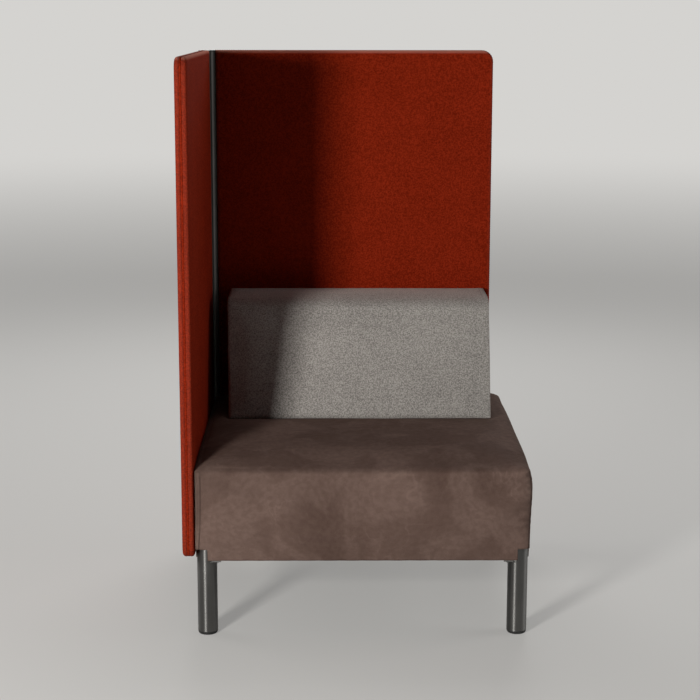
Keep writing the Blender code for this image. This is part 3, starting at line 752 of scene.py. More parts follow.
@dataclass(frozen=True)
class DrawnMetal:
    """Metal with fine lines along one direction.

    Attributes:
        grain_map: UV map whose first axis is the way that gloss is drawn out, or empty for none.
    """

    name: str
    base: Colour
    bright: Colour
    stretch: Place
    scale: float
    rough: tuple[float, float]
    relief: float
    grain_map: str = ""
    drawn_out: float = 0.95

    def build(self, effects: SharedEffects) -> Material:
        """Make the material."""
        dresser = Dresser(self.name, effects)
        grain = dresser.group(effects.streaks, scale=self.scale, stretch=self.stretch)
        streak = grain.outputs["Streak"]
        mixed = dresser.graph.blend(streak, rgba(self.base), rgba(self.bright))
        dresser.colour(mixed, tone_scale=9.0, tone_amount=0.08)
        dresser.feed("Roughness", dresser.graph.between(streak, 0.0, 1.0, *self.rough))
        dresser.relief(grain.outputs["Height"], self.relief)
        dresser.plain(metallic=1.0)
        if self.grain_map:
            tangent = dresser.graph.node("ShaderNodeTangent", direction_type="UV_MAP", uv_map=self.grain_map)
            dresser.feed("Tangent", tangent.outputs[0])
            dresser.plain(anisotropic=self.drawn_out)
        return dresser.material


@dataclass(frozen=True)
class MouldedPlastic:
    """Plastic with the fine grain of its mould."""

    name: str = "moulded_plastic"
    base: Colour = (0.011, 0.011, 0.011)
    wear_and_painted_light: Colour = (0.030, 0.030, 0.029)
    grain_scale: float = 1500.0
    scuff_scale: float = 60.0

    def build(self, effects: SharedEffects) -> Material:
        """Make the material."""
        dresser = Dresser(self.name, effects)
        graph = dresser.graph
        scuffs = graph.between(graph.noise(dresser.where, self.scuff_scale, 4.0, 1.5), 0.55, 0.75)
        mixed = graph.blend(scuffs, rgba(self.base), rgba(self.wear_and_painted_light))
        dresser.colour(mixed, tone_scale=20.0, tone_amount=0.1)
        dresser.feed("Roughness", graph.between(scuffs, 0.0, 1.0, 0.42, 0.62))
        dresser.relief(graph.noise(dresser.where, self.grain_scale), 0.0001)
        return dresser.material


@dataclass(frozen=True)
class SawnWood:
    """Pale timber with its grain along one direction."""

    name: str
    stretch: Place
    early: Colour = (0.62, 0.45, 0.27)
    late: Colour = (0.42, 0.27, 0.14)
    grain_scale: float = 120.0

    def build(self, effects: SharedEffects) -> Material:
        """Make the material."""
        dresser = Dresser(self.name, effects)
        grain = dresser.group(effects.streaks, scale=self.grain_scale, stretch=self.stretch)
        mixed = dresser.graph.blend(grain.outputs["Streak"], rgba(self.early), rgba(self.late))
        dresser.colour(mixed, tone_scale=4.0, tone_amount=0.1)
        dresser.relief(grain.outputs["Height"], 0.0003)
        dresser.plain(roughness=0.72)
        return dresser.material


@dataclass(frozen=True)
class WovenTape:
    """Woven tape or thread: threads that cross, on Object coordinates."""

    name: str
    dark: Colour
    light: Colour
    thread: float = SEWING_THREAD

    def build(self, effects: SharedEffects) -> Material:
        """Make the material."""
        dresser = Dresser(self.name, effects)
        graph = dresser.graph
        weave = {"Vector": dresser.where, "Scale": 0.5 / self.thread, "Distortion": 0.4, "Detail": 1.0}
        waves = [
            graph.node("ShaderNodeTexWave", weave, bands_direction=direction).outputs["Fac"]
            for direction in ("X", "Y")
        ]
        threads = graph.math("MAXIMUM", *waves)
        mixed = graph.blend(threads, rgba(self.dark), rgba(self.light))
        dresser.colour(mixed, tone_scale=30.0, tone_amount=0.12)
        dresser.relief(threads, 0.0004)
        dresser.plain(roughness=0.85, specular_ior_level=0.1)
        return dresser.material


@dataclass(frozen=True)
class BondedFleece:
    """Black non-woven sheet with the small dents of its bonding."""

    name: str = "bonded_fleece"
    base: Colour = (0.014, 0.014, 0.015)
    fuzz_and_sheen: Colour = (0.045, 0.045, 0.047)
    pitch: float = 0.0022

    def build(self, effects: SharedEffects) -> Material:
        """Make the material."""
        dresser = Dresser(self.name, effects)
        graph = dresser.graph
        cells = graph.node("ShaderNodeTexVoronoi", {"Vector": dresser.where, "Scale": 1.0 / self.pitch})
        dents = graph.between(cells.outputs["Distance"], 0.15, 0.45)
        fibres = dresser.group(effects.fibres, hair_scale=1100.0, fleck_scale=300.0, fleck_share=0.4)
        raised = graph.math("MULTIPLY", dents, fibres.outputs["Mix"])
        mixed = graph.blend(raised, rgba(self.base), rgba(self.fuzz_and_sheen))
        dresser.colour(mixed, tone_scale=8.0, tone_amount=0.1)
        dresser.relief(dents, 0.0003)
        dresser.plain(roughness=0.9)
        return dresser.material


class Finishes:
    """All the bench's materials, by what they are."""

    def __init__(self) -> None:
        """Build the shared effects and each material."""
        effects = SharedEffects()
        self.suede = BrushedSuede().build(effects)
        self.felt = MattedCloth(
            "rust_felt", deep=(0.112, 0.0070, 0.0019), bright=(0.324, 0.0268, 0.0078),
            fuzz_and_sheen=(0.82, 0.33, 0.24), hair_scale=900.0, fleck_scale=260.0, fleck_share=0.55,
            relief=0.0004, sheen=0.02,
        ).build(effects)
        self.wool = MattedCloth(
            "grey_melange_wool", deep=(0.140, 0.131, 0.122), bright=(0.535, 0.506, 0.470),
            fuzz_and_sheen=(0.90, 0.74, 0.68), hair_scale=1100.0, fleck_scale=320.0, fleck_share=0.62,
            relief=0.0005, sheen=0.32,
        ).build(effects)
        self.tube_steel = DrawnMetal(
            "satin_tube_steel", base=(0.106, 0.104, 0.101), bright=(0.140, 0.138, 0.133),
            stretch=(1.0, 1.0, 0.02), scale=900.0, rough=(0.45, 0.51), relief=0.000002,
            grain_map=TUBE_GRAIN,
        ).build(effects)
        self.steel = DrawnMetal(
            "satin_steel", base=(0.170, 0.167, 0.161), bright=(0.220, 0.217, 0.210),
            stretch=(1.0, 1.0, 0.05), scale=700.0, rough=(0.26, 0.36), relief=0.00002,
        ).build(effects)
        self.anodised = DrawnMetal(
            "grey_anodised_aluminium", base=(0.108, 0.106, 0.102), bright=(0.135, 0.132, 0.127),
            stretch=(1.0, 1.0, 0.01), scale=700.0, rough=(0.62, 0.70), relief=0.00002,
        ).build(effects)
        self.zinc = DrawnMetal(
            "zinc_plated_steel", base=(0.50, 0.50, 0.48), bright=(0.64, 0.64, 0.62),
            stretch=(1.0, 1.0, 1.0), scale=260.0, rough=(0.30, 0.46), relief=0.00003,
        ).build(effects)
        self.plastic = MouldedPlastic().build(effects)
        self.wood_across = SawnWood("beech_across", (0.04, 1.0, 1.0)).build(effects)
        self.wood_along = SawnWood("beech_along", (1.0, 0.04, 1.0)).build(effects)
        self.wood_upright = SawnWood("beech_upright", (1.0, 1.0, 0.04)).build(effects)
        self.fleece = BondedFleece().build(effects)
        tapes = (
            WovenTape("black_webbing", (0.016, 0.016, 0.017), (0.060, 0.060, 0.062), thread=0.0022),
            WovenTape("zip_tape", (0.070, 0.067, 0.062), (0.150, 0.143, 0.133), thread=0.0006),
            WovenTape("brown_thread", (0.060, 0.038, 0.030), (0.115, 0.078, 0.065)),
            WovenTape("red_thread", (0.120, 0.008, 0.003), (0.230, 0.020, 0.008)),
            WovenTape("grey_thread", (0.150, 0.142, 0.130), (0.300, 0.285, 0.262)),
        )
        self.webbing, self.tape, self.brown_thread, self.red_thread, self.grey_thread = (
            tape.build(effects) for tape in tapes
        )


# Geometry Nodes


class Repeats:
    """Geometry Nodes trees for what repeats along a path or at given points."""

    def __init__(self) -> None:
        """Build each tree once."""
        self.along = self._along_path()
        self.at = self._at_points()

    @staticmethod
    def _tree(name: str, guide: str, size: str) -> tuple[Graph, Node]:
        """Start a tree that copies a shape.

        Args:
            name: the tree's name.
            guide: what its path or points are called.
            size: what its one number is called.

        Returns:
            The tree's graph and its input node.
        """
        sockets = {guide: "Geometry", size: 0.0, "Shape": "Object", "Finish": "Material"}
        return Graph.group("GeometryNodeTree", name, sockets, {"Pieces": "Geometry"})

    @staticmethod
    def _copies(graph: Graph, start: Node, points: Socket, rotation: Socket) -> Tree:
        """Put a copy at each point, make the copies real and give them their material.

        Args:
            graph: the tree's graph.
            start: its input node.
            points: where the copies go.
            rotation: how each one is turned.

        Returns:
            The finished tree.
        """
        shape = graph.node("GeometryNodeObjectInfo", {"Object": start.outputs["Shape"]})
        placed = graph.node("GeometryNodeInstanceOnPoints", {
            "Points": points, "Instance": shape.outputs["Geometry"], "Rotation": rotation,
        })
        real = graph.node("GeometryNodeRealizeInstances", {0: placed.outputs[0]}).outputs[0]
        finish = {"Geometry": real, "Material": start.outputs["Finish"]}
        dressed = graph.node("GeometryNodeSetMaterial", finish)
        graph.node("NodeGroupOutput", {"Pieces": dressed.outputs[0]})
        return graph.tree

    def _along_path(self) -> Tree:
        """Copies of a shape along a path, its Z axis along the path."""
        graph, start = self._tree("repeat_along_path", "Path", "Pitch")
        curve = graph.node("GeometryNodeMeshToCurve", {"Mesh": start.outputs["Path"]}).outputs[0]
        level = graph.node("GeometryNodeSetCurveNormal", {"Curve": curve}, mode="Z_UP").outputs[0]
        spots = graph.node(
            "GeometryNodeCurveToPoints", {"Curve": level, "Length": start.outputs["Pitch"]}, mode="LENGTH",
        )
        return self._copies(graph, start, spots.outputs["Points"], spots.outputs["Rotation"])

    def _at_points(self) -> Tree:
        """Copies of a shape at a mesh's points, each turned a further step about Z."""
        graph, start = self._tree("repeat_at_points", "Spots", "Turn")
        index = graph.node("GeometryNodeInputIndex").outputs[0]
        turn = graph.math("MULTIPLY", index, start.outputs["Turn"])
        angles = graph.node("ShaderNodeCombineXYZ", {"Z": turn}).outputs[0]
        return self._copies(graph, start, start.outputs["Spots"], angles)

    @staticmethod
    def _made(name: str, tree: Tree, points: Sequence, edges: Sequence, shape: Mesh, values: dict) -> Piece:
        """Run a tree and keep its result as a plain mesh.

        Args:
            name: the piece's name.
            tree: the tree to run.
            points: places of the path's or the spots' vertices.
            edges: pairs of vertex numbers.
            shape: mesh of one copy.
            values: the tree's other inputs, by name.

        Returns:
            The piece.
        """
        guide = bpy.data.meshes.new(name)
        guide.from_pydata([tuple(map(float, p)) for p in points], edges, [])
        holder = new_object(f"{name}_guide", guide)
        copy = new_object(f"{name}_copy", shape)
        modifier = holder.modifiers.new("repeat", "NODES")
        modifier.node_group = tree
        sockets = {item.name: item.identifier for item in tree.interface.items_tree if item.in_out == "INPUT"}
        for label, value in {**values, "Shape": copy}.items():
            modifier[sockets[label]] = value
        mesh = evaluated_mesh(holder)
        for spare in (holder, copy):
            bpy.data.objects.remove(spare, do_unlink=True)
        mesh.name = name
        return new_object(name, mesh)

    def along_paths(self, name: str, paths: Sequence[Sequence], pitch: float, shape: Mesh,
                    finish: Material) -> Piece:
        """Repeat a shape along open paths.

        Args:
            name: the piece's name.
            paths: points of each path.
            pitch: distance between copies.
            shape: mesh of one copy, with its length along Z.
            finish: its material.

        Returns:
            The piece.
        """
        points, edges = [], []
        for path in paths:
            first = len(points)
            points += list(path)
            edges += [(first + step, first + step + 1) for step in range(len(path) - 1)]
        return self._made(name, self.along, points, edges, shape, {"Pitch": pitch, "Finish": finish})

    def at_points(self, name: str, points: Sequence, turn: float, shape: Mesh, finish: Material) -> Piece:
        """Repeat a shape at points.

        Args:
            name: the piece's name.
            points: where the copies go.
            turn: angle about Z between one copy and the next.
            shape: mesh of one copy.
            finish: its material.

        Returns:
            The piece.
        """
        return self._made(name, self.at, points, [], shape, {"Turn": turn, "Finish": finish})


# Workshop: what every sub-assembly shares


class Workshop:
    """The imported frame, the finishes and the repeating trees."""

    def __init__(self, frame: dict) -> None:
        """Keep the frame and build what all pieces share."""
        self.nodes: dict[str, Piece] = frame["nodes"]
        self.finishes = Finishes()
        self.repeats = Repeats()

    def dress(self, piece: Piece, finish: Material) -> Piece:
        """Give a piece one material."""
        piece.data.materials.clear()
        piece.data.materials.append(finish)
        return piece

    def adopt(self, piece: Piece, body: Body, slot: Slot, replaced: Sequence[str] = ()) -> None:
        """Let a finished piece ride on its body and stand for its nodes.

        Args:
            piece: the piece.
            body: what it moves with.
            slot: the record's slot for the piece; not used.
            replaced: the nodes that it stands for.
        """
        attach(piece, body.value)
        if replaced:
            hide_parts(*replaced)
        LOG.info("%s: %d faces on %s", piece.name, len(piece.data.polygons), body.value)

    def softened(self, name: str, nodes: Sequence[str], edge: float) -> Piece:
        """Copy rigid nodes as one mesh with smooth round faces and eased edges.

        Args:
            name: the new piece's name.
            nodes: nodes to copy.
            edge: width of the eased edges.

        Returns:
            The piece.
        """
        bm = bmesh.new()
        for node in nodes:
            bm.from_mesh(self.nodes[node].data)
        bmesh.ops.remove_doubles(bm, verts=bm.verts, dist=WELD)
        bmesh.ops.dissolve_limit(bm, angle_limit=math.radians(0.5), verts=bm.verts, edges=bm.edges)
        piece = new_object(name, mesh_of(bm, name, 32))
        easing = piece.modifiers.new("easing", "BEVEL")
        easing.width = edge
        easing.segments = 2
        easing.limit_method = "ANGLE"
        easing.angle_limit = math.radians(50)
        easing.harden_normals = True
        return piece

    def paint(self, nodes: Iterable[str], finish: Material) -> None:
        """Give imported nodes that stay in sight, or inside, a better material."""
        for node in nodes:
            self.dress(self.nodes[node], finish)


@dataclass(frozen=True)
class Inflation:
    """Cloth simulation that blows a sewn cover up a little.

    Attributes:
        pressure: force of the padding inside.
        cap: about how far a point may move.
        frames: steps of the simulation.
        evening: rounds of averaging each point's shift with its neighbours' shifts.
    """

    pressure: float
    cap: float
    frames: int = 16
    evening: int = 10
    quality: int = 5
    mass: float = 0.25
    stretch: float = 25.0
    shear: float = 10.0
    bending: float = 1.5

    def run(self, piece: Piece, held: Sequence[int], share: Array) -> None:
        """Simulate a piece and keep the limited result in its mesh.

        Args:
            piece: the cover.
            held: numbers of the vertices that are fastened.
            share: how much of its shift each vertex keeps.
        """
        rest = points_of(piece.data)
        shift = self._simulated(piece, held) - rest
        length = np.linalg.norm(shift, axis=1, keepdims=True)
        limited = shift * (self.cap * np.tanh(length / self.cap) / np.maximum(length, TINY))
        limited = self._evened(piece.data, limited) * share[:, None]
        put_points(piece.data, rest + limited)
        LOG.info("%s: swollen by up to %.1f mm", piece.name, 1000 * np.abs(limited).max())

    def _simulated(self, piece: Piece, held: Sequence[int]) -> Array:
        """Blow the piece up and take the cloth off it again.

        Args:
            piece: the cover.
            held: numbers of the vertices that are fastened.

        Returns:
            The places of the swollen cover's vertices.
        """
        cloth = piece.modifiers.new("cloth", "CLOTH")
        settings = cloth.settings
        settings.quality = self.quality
        settings.mass = self.mass
        settings.tension_stiffness = self.stretch
        settings.compression_stiffness = self.stretch
        settings.shear_stiffness = self.shear
        settings.bending_stiffness = self.bending
        settings.use_pressure = True
        settings.uniform_pressure_force = self.pressure
        settings.effector_weights.gravity = 0.0
        cloth.collision_settings.use_collision = False
        group = piece.vertex_groups.new(name="held")
        group.add([int(number) for number in held], 1.0, "REPLACE")
        settings.vertex_group_mass = group.name
        scene = bpy.context.scene
        for frame in range(1, self.frames + 1):
            scene.frame_set(frame)
        swollen = evaluated_mesh(piece)
        points = points_of(swollen)
        bpy.data.meshes.remove(swollen)
        piece.modifiers.remove(cloth)
        piece.vertex_groups.clear()
        scene.frame_set(1)
        return points

    def _evened(self, mesh: Mesh, shift: Array) -> Array:
        """Average each vertex's shift with those of its neighbours, a few times.

        Args:
            mesh: the cover's mesh.
            shift: how far each vertex moved.

        Returns:
            The evened shift.
        """
        ends = np.empty(len(mesh.edges) * 2, dtype=np.int64)
        mesh.edges.foreach_get("vertices", ends)
        first, second = ends.reshape(-1, 2).T
        count = np.bincount(ends, minlength=len(shift))[:, None]
        for _ in range(self.evening):
            total = np.zeros_like(shift)
            np.add.at(total, first, shift[second])
            np.add.at(total, second, shift[first])
            shift = 0.5 * shift + 0.5 * total / count
        return shift


# Sub-assemblies


@dataclass
class Seat:
    """Padded seat: its sewn suede cover and the dust sheet stapled below it.

    Attributes:
        seam_step: lattice line across, at the front left seam.
        side_seam_step: lattice line along, at the front right seam.
        most_inward: how far the cover may be drawn in over the rails.
    """

    shop: Workshop
    padding: Inflation = Inflation(pressure=3.0, cap=0.006)
    swell_reach: float = 0.09
    crown: float = 0.007
    crown_kept: float = 0.85
    bulge: float = 0.0035
    side_bulge: float = 0.0058
    bulge_power: float = 2.3
    corner: float = 0.017
    left_edge: float = 0.004
    rounding: float = 0.009
    shoulder_height: float = 0.056
    shoulder_depth: float = 0.003
    shoulder_reach: float = 0.09
    rear_shoulder: float = 0.014
    front_shoulder: float = 0.001
    front_reach: float = 0.10
    rear_swell: float = 0.008
    rear_reach: float = 0.25
    beside_start: float = 0.003
    beside_reach: float = 0.018
    waterfall: float = 0.008
    waterfall_reach: float = 0.16
    top_reach: float = 0.08
    arc_steps: int = 8
    pitch: float = 0.012
    flank_pitch: float = 0.0042
    notch: float = 0.030
    notch_top: float = 0.2158
    cover_thickness: float = 0.0022
    seam_lines: tuple[float, ...] = (0.0020, 0.0035, 0.0045, 0.0055, 0.0065, 0.0080, 0.0100, 0.0130)
    seam_step: int = 12
    side_seam_step: int = 2
    seam_depth: float = 0.0019
    seam_width: float = 0.0015
    seam_shade: float = 0.45
    most_inward: float = 0.0019
    right_room: float = 0.006
    front_room: float = 0.004
    stitch_aside: int = 2
    stitch_radius: float = 0.00045
    stitch_length: float = 0.0034
    stitch_pitch: float = 0.0048
    stitch_lift: float = 0.0002
    fold_count: int = 7
    fold_height: float = 0.0012
    fold_shade: float = 0.17
    strong_folds: float = 2.0
    faint_folds: float = 0.5
    sheet_notch: float = 0.052
    fleece_thickness: float = 0.0012
    fleece_sag: float = 0.005
    staple_size: Place = (0.0012, 0.0006, 0.010)
    staple_inset: float = 0.014
    staple_pitch: float = 0.038
    staple_clear: float = 0.075

    def build(self) -> None:
        """Make the cover, its stitches, the dust sheet and its staples."""
        self.low, self.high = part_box("seat_cover")
        self.left, self.right = self.low.x, self.high.x - self.bulge
        self.front, self.back = self.low.y + self.bulge, self.high.y
        self.hem, self.top = self.low.z, self.high.z - self.crown
        self.cushion_low, self.cushion_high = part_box("cushion_cover")
        self._build_cover()
        self._build_sheet()

    def _in_notch(self, x: float, y: float, reach: float) -> bool:
        """Tell whether a place lies in a corner of the seat that is cut away for a leg."""
        by_side = min(x - self.left, self.right - x) < reach
        return by_side and min(y - self.front, self.back - y) < reach

    def _stays(self, axis: int, end: int, middle: Vector) -> bool:
        """Tell whether a face of the block stays: not the underside, nor in a leg's notch.

        Args:
            axis: the axis that the face looks along.
            end: 0 on the block's low side, 1 on its high one.
            middle: the face's middle.

        Returns:
            True where it stays.
        """
        if axis == 2:
            return end == 1
        return middle.z >= self.notch_top or not self._in_notch(middle.x, middle.y, self.notch)

    def _lattice(self) -> tuple[Array, Array, Array]:
        """Choose the cover's lattice lines, close together at its edges, seams and flanks."""
        by_seam = [self.left + self.left_edge + reach for reach in self.seam_lines]
        by_cushion = np.linspace(self.cushion_high.x - 0.004, self.right - self.corner, 9)
        stops_x = (self.left + self.notch, self.right - self.notch, *by_seam, *by_cushion)
        stops_y = (self.front + self.notch, self.back - self.notch)
        r, steps = self.corner, self.arc_steps
        return (
            block_lines(self.left, self.right, self.left_edge, r, steps, self.pitch, stops_x),
            block_lines(self.front, self.back, r, r, steps, self.pitch, stops_y),
            block_lines(self.hem, self.top, 0.0, self.rounding, steps, self.flank_pitch, (self.notch_top,)),
        )

    def _shape(self, points: Array) -> Array:
        """Round the block, crown its top, swell its free sides and ease its right shoulder.

        Args:
            points: places on the plain block.

        Returns:
            The moved points.
        """
        r, rise = self.corner, self.rounding
        low, high = (self.left, self.front, self.hem), (self.right, self.back, self.top)
        shaped = round_block(points, low, high, (self.left_edge, r, 0.0), (r, r, rise))
        x, y, z = shaped.T.copy()
        u = (2 * points[:, 0] - self.left - self.right) / (self.right - self.left)
        v = (2 * points[:, 1] - self.front - self.back) / (self.back - self.front)
        height = (points[:, 2] - self.hem) / (self.top - self.hem)
        towards_front = np.clip((self.front + r - y) / r, 0.0, 1.0)
        towards_right = np.clip((x - self.right + r) / r, 0.0, 1.0)
        rear = ease((y - self.back + self.rear_reach) / self.rear_reach)
        near_top = ease((z - self.top + self.top_reach) / self.top_reach)
        upper = np.clip((z - self.top + rise) / rise, 0.0, 1.0)
        beside = ease((x - self.cushion_high.x + self.beside_start) / self.beside_reach)
        lean = self.shoulder_depth + self.rear_shoulder * rear
        lean += self.front_shoulder * ease(1 - (y - self.front) / self.front_reach)
        lean *= shoulder((z - self.top + self.shoulder_height) / self.shoulder_height)
        shaped[:, 0] -= lean * ease((x - self.right + self.shoulder_reach) / self.shoulder_reach)
        shaped[:, 0] += self.side_bulge * np.sin(math.pi * height ** self.bulge_power) * towards_right
        shaped[:, 1] -= self.bulge * 4 * height * (1 - height) * hump(u) * towards_front
        shaped[:, 2] += self.crown * self.crown_kept * hump(u, 8) * hump(np.minimum(v, 0.0)) * upper
        shaped[:, 2] -= self.waterfall * ease(1 - (y - self.front) / self.waterfall_reach) * near_top
        shaped[:, 2] += self.rear_swell * rear * beside * near_top
        return shaped

    def _build_cover(self) -> None:
        """Make the suede cover: swollen, drawn in at its seams and pulled at a corner."""
        shop = self.shop
        skin = BlockSkin(self._lattice(), self._stays)
        base = self._shape(np.array(skin.points))
        mesh = new_mesh("seat_upholstery", base, skin.quads)
        cover = new_object("seat_upholstery", mesh)
        outward = normals_of(mesh)
        share = ease((base[:, 2] - self.hem) / self.swell_reach)
        share *= 0.35 + 0.65 * ease((self.right - base[:, 0]) / self.swell_reach)
        self.padding.run(cover, self._held(base), share)
        corners = self._corners(skin)
        self._sew(mesh, base, {name: column for name, (column, _) in corners.items()})
        self._settle(mesh, base, outward)
        shop.dress(cover, shop.finishes.suede)
        stitches = self._stitches(mesh, [column for _, column in corners.values()])
        thicken(cover, self.cover_thickness)
        shop.adopt(cover, Body.BENCH, Slot.SUEDE, ("seat_cover", "seat_foam"))
        shop.adopt(stitches, Body.BENCH, Slot.SUEDE)

    def _held(self, base: Array) -> Array:
        """Vertices that are fastened: along the hem and where the cover touches the screens."""
        at_hem = base[:, 2] < self.hem + 0.004
        at_screens = (base[:, 0] < self.left + TOUCH) | (base[:, 1] > self.back - TOUCH)
        return np.flatnonzero(at_hem | at_screens)

    def _corners(self, skin: BlockSkin) -> dict[str, tuple[list[int], list[int]]]:
        """Find the vertices up each sewn corner.

        Args:
            skin: the cover's lattice.

        Returns:
            By corner, the vertex numbers of its seam and of the stitches beside it.
        """
        last_x, last_y, last_z = skin.last
        step, turned, aside = self.seam_step, self.side_seam_step, self.stitch_aside
        rear = last_x - self.arc_steps
        columns = {
            "front_left": ((step, 0), (step + aside, 0)),
            "front_right": ((last_x, turned), (last_x, turned + aside)),
            "rear_right": ((rear, last_y), (rear - aside, last_y)),
        }
        rows = range(last_z + 1)
        return {
            corner: tuple([skin.number[(i, j, k)] for k in rows if (i, j, k) in skin.number] for i, j in pair)
            for corner, pair in columns.items()
        }

    def _sew(self, mesh: Mesh, base: Array, seams: dict[str, list[int]]) -> None:
        """Draw the cover in along its seams, fold it there, paint shade into the seams and below the folds,
        and make it slightly uneven.

        Args:
            mesh: the swollen cover.
            base: places of its vertices before it swelled.
            seams: vertex numbers up each seam, by corner.
        """
        x, y, z = base.T
        below_top = np.clip((self.top - 0.010 - z) / 0.02, 0.0, 1.0)
        shift = 0.0009 * unevenness(base, 6.0) + 0.0004 * unevenness(base, 17.0)
        shift *= np.clip((z - self.hem) / 0.05, 0.0, 1.0)
        staples = np.cos(math.tau * (x + y) / 0.055)
        shift -= 0.0005 * (staples + 1.0) * bell(z - self.hem, 0.012)
        painted_light = np.zeros(len(base))
        random = np.random.default_rng(SEED)
        for corner, column in seams.items():
            seam_x, seam_y = (np.interp(z, base[column, 2], base[column, axis]) for axis in (0, 1))
            aside = np.hypot(x - seam_x, y - seam_y)
            drawn_in = bell(aside, self.seam_width) * below_top
            beside = bell(aside - 3.0 * self.seam_width, 2.0 * self.seam_width) * below_top
            shift += self.seam_depth * (0.25 * beside - drawn_in)
            # painted shade in the seam, where the cover is drawn in
            painted_light -= self.seam_shade * drawn_in
            strength = self.strong_folds if corner == "front_right" else self.faint_folds
            strength *= 0.2 + 0.8 * ease((seam_y - y + 0.004) / 0.008)
            rise, shade = self._folds(z, aside, random)
            shift += strength * rise
            painted_light -= strength * shade
        put_points(mesh, points_of(mesh) + normals_of(mesh) * shift[:, None])
        put_painted_light(mesh, painted_light)

    def _folds(self, z: Array, aside: Array, random: np.random.Generator) -> tuple[Array, Array]:
        """Pull the cover into folds beside one seam.

        Args:
            z: heights of the vertices.
            aside: their distances from the seam.
            random: where the folds' places, slopes and sizes come from.

        Returns:
            How far each vertex rises and how much painted shade falls on it below each fold.
        """
        rise, shade = np.zeros(len(z)), np.zeros(len(z))
        for level in np.linspace(self.hem + 0.085, self.top - 0.012, self.fold_count):
            height = level + random.uniform(-0.007, 0.007)
            slope = random.uniform(-0.35, 0.20)
            reach = random.uniform(0.014, 0.034)
            width = random.uniform(0.0055, 0.0075)
            across = (z - height - slope * aside) / (width + 0.08 * aside)
            rise += 2.3 * across * np.exp(-across ** 2 - aside / reach)
            # painted shade, just below each fold's crease
            shade += np.exp(-1.5 * (across + 0.6) ** 2 - aside / (0.7 * reach))
        return self.fold_height * rise * ease(aside / 0.005), self.fold_shade * shade * ease(aside / 0.003)

    def _settle(self, mesh: Mesh, base: Array, outward: Array) -> None:
        """Keep the cover off the rails inside it, and press it down under the cushion.

        Args:
            mesh: the sewn cover.
            base: places of its vertices before it swelled.
            outward: outward directions there.
        """
        points = points_of(mesh)
        depth = np.einsum("ij,ij->i", points - base, outward)
        over_rails = ease((self.top - 0.03 - base[:, 2]) / 0.03)
        points += outward * (np.maximum(-self.most_inward - depth, 0.0) * over_rails)[:, None]
        points[:, 0] = np.clip(points[:, 0], self.left, self.high.x + self.right_room)
        points[:, 1] = np.clip(points[:, 1], self.low.y - self.front_room, self.back)
        points[:, 2] = np.maximum(points[:, 2], self.hem)
        aside = np.maximum(points[:, 0] - self.cushion_high.x, self.cushion_low.x - points[:, 0])
        ahead = self.cushion_low.y - points[:, 1]
        slack = np.maximum(0.9 * np.maximum(aside, 0.0), 0.25 * np.maximum(ahead, 0.0))
        points[:, 2] = np.minimum(points[:, 2], self.cushion_low.z - CUSHION_SINK - 0.0004 + slack)
        put_points(mesh, points)

    def _stitches(self, mesh: Mesh, columns: list[list[int]]) -> Piece:
        """Sew a row of stitches beside each seam.

        Args:
            mesh: the finished cover.
            columns: vertex numbers up each row.

        Returns:
            The stitches.
        """
        points = points_of(mesh) + self.stitch_lift * normals_of(mesh)
        paths = [points[column[:-self.arc_steps]] for column in columns]
        thread = stitch_mesh("seat_stitch", self.stitch_radius, self.stitch_length)
        shop = self.shop
        return shop.repeats.along_paths(
            "seat_stitches", paths, self.stitch_pitch, thread, shop.finishes.brown_thread,
        )

    def _sheet_grid(self, low: Vector, high: Vector) -> tuple[Array, list[list[int]]]:
        """Lay the flat dust sheet as a grid, with its corners cut out for the legs.

        Args:
            low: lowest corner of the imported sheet.
            high: its highest corner.

        Returns:
            The points and the quads.
        """
        cut = self.sheet_notch
        lines_x = np.unique([*np.linspace(low.x, high.x, 54), self.left + cut, self.right - cut])
        lines_y = np.unique([*np.linspace(low.y, high.y, 52), self.front + cut, self.back - cut])
        number: dict[tuple[int, int], int] = {}
        quads = []
        for i in range(len(lines_x) - 1):
            for j in range(len(lines_y) - 1):
                x, y = (lines_x[i] + lines_x[i + 1]) / 2, (lines_y[j] + lines_y[j + 1]) / 2
                if not self._in_notch(x, y, cut):
                    ring = ((i, j), (i, j + 1), (i + 1, j + 1), (i + 1, j))
                    quads.append([number.setdefault(spot, len(number)) for spot in ring])
        return np.array([(lines_x[i], lines_y[j], high.z) for i, j in number]), quads

    def _build_sheet(self) -> None:
        """Make the dust sheet, sagging a little, and the staples along its edges."""
        shop = self.shop
        low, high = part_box("dust_sheet")
        points, quads = self._sheet_grid(low, high)
        u = (2 * points[:, 0] - low.x - high.x) / (high.x - low.x) / 0.82
        v = (2 * points[:, 1] - low.y - high.y) / (high.y - low.y) / 0.82
        slack = np.clip(1 - u ** 2, 0, 1) * np.clip(1 - v ** 2, 0, 1)
        points[:, 2] -= self.fleece_sag * slack * (0.85 + 0.3 * unevenness(points, 9.0))
        sheet = new_object("dust_cover", new_mesh("dust_cover", points, quads))
        shop.dress(sheet, shop.finishes.fleece)
        thicken(sheet, self.fleece_thickness, outward=True)
        staples = self._staples(low, high)
        shop.adopt(sheet, Body.BENCH, Slot.WEBBING, ("dust_sheet",))
        shop.adopt(staples, Body.BENCH, Slot.ZINC)

    def _staples(self, low: Vector, high: Vector) -> Piece:
        """Set staples along the dust sheet's four edges.

        Args:
            low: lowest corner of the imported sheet.
            high: its highest corner.

        Returns:
            The staples.
        """
        level = low.z - 0.0002
        ends_x = (low.x + self.staple_clear, high.x - self.staple_clear)
        ends_y = (low.y + self.staple_clear, high.y - self.staple_clear)
        rows = (low.y + self.staple_inset, high.y - self.staple_inset)
        columns = (low.x + self.staple_inset, high.x - self.staple_inset)
        paths = [[(x, y, level) for x in ends_x] for y in rows]
        paths += [[(x, y, level) for y in ends_y] for x in columns]
        staple = softened_box("staple", self.staple_size, 0.00025)
        shop = self.shop
        return shop.repeats.along_paths("sheet_staples", paths, self.staple_pitch, staple, shop.finishes.zinc)


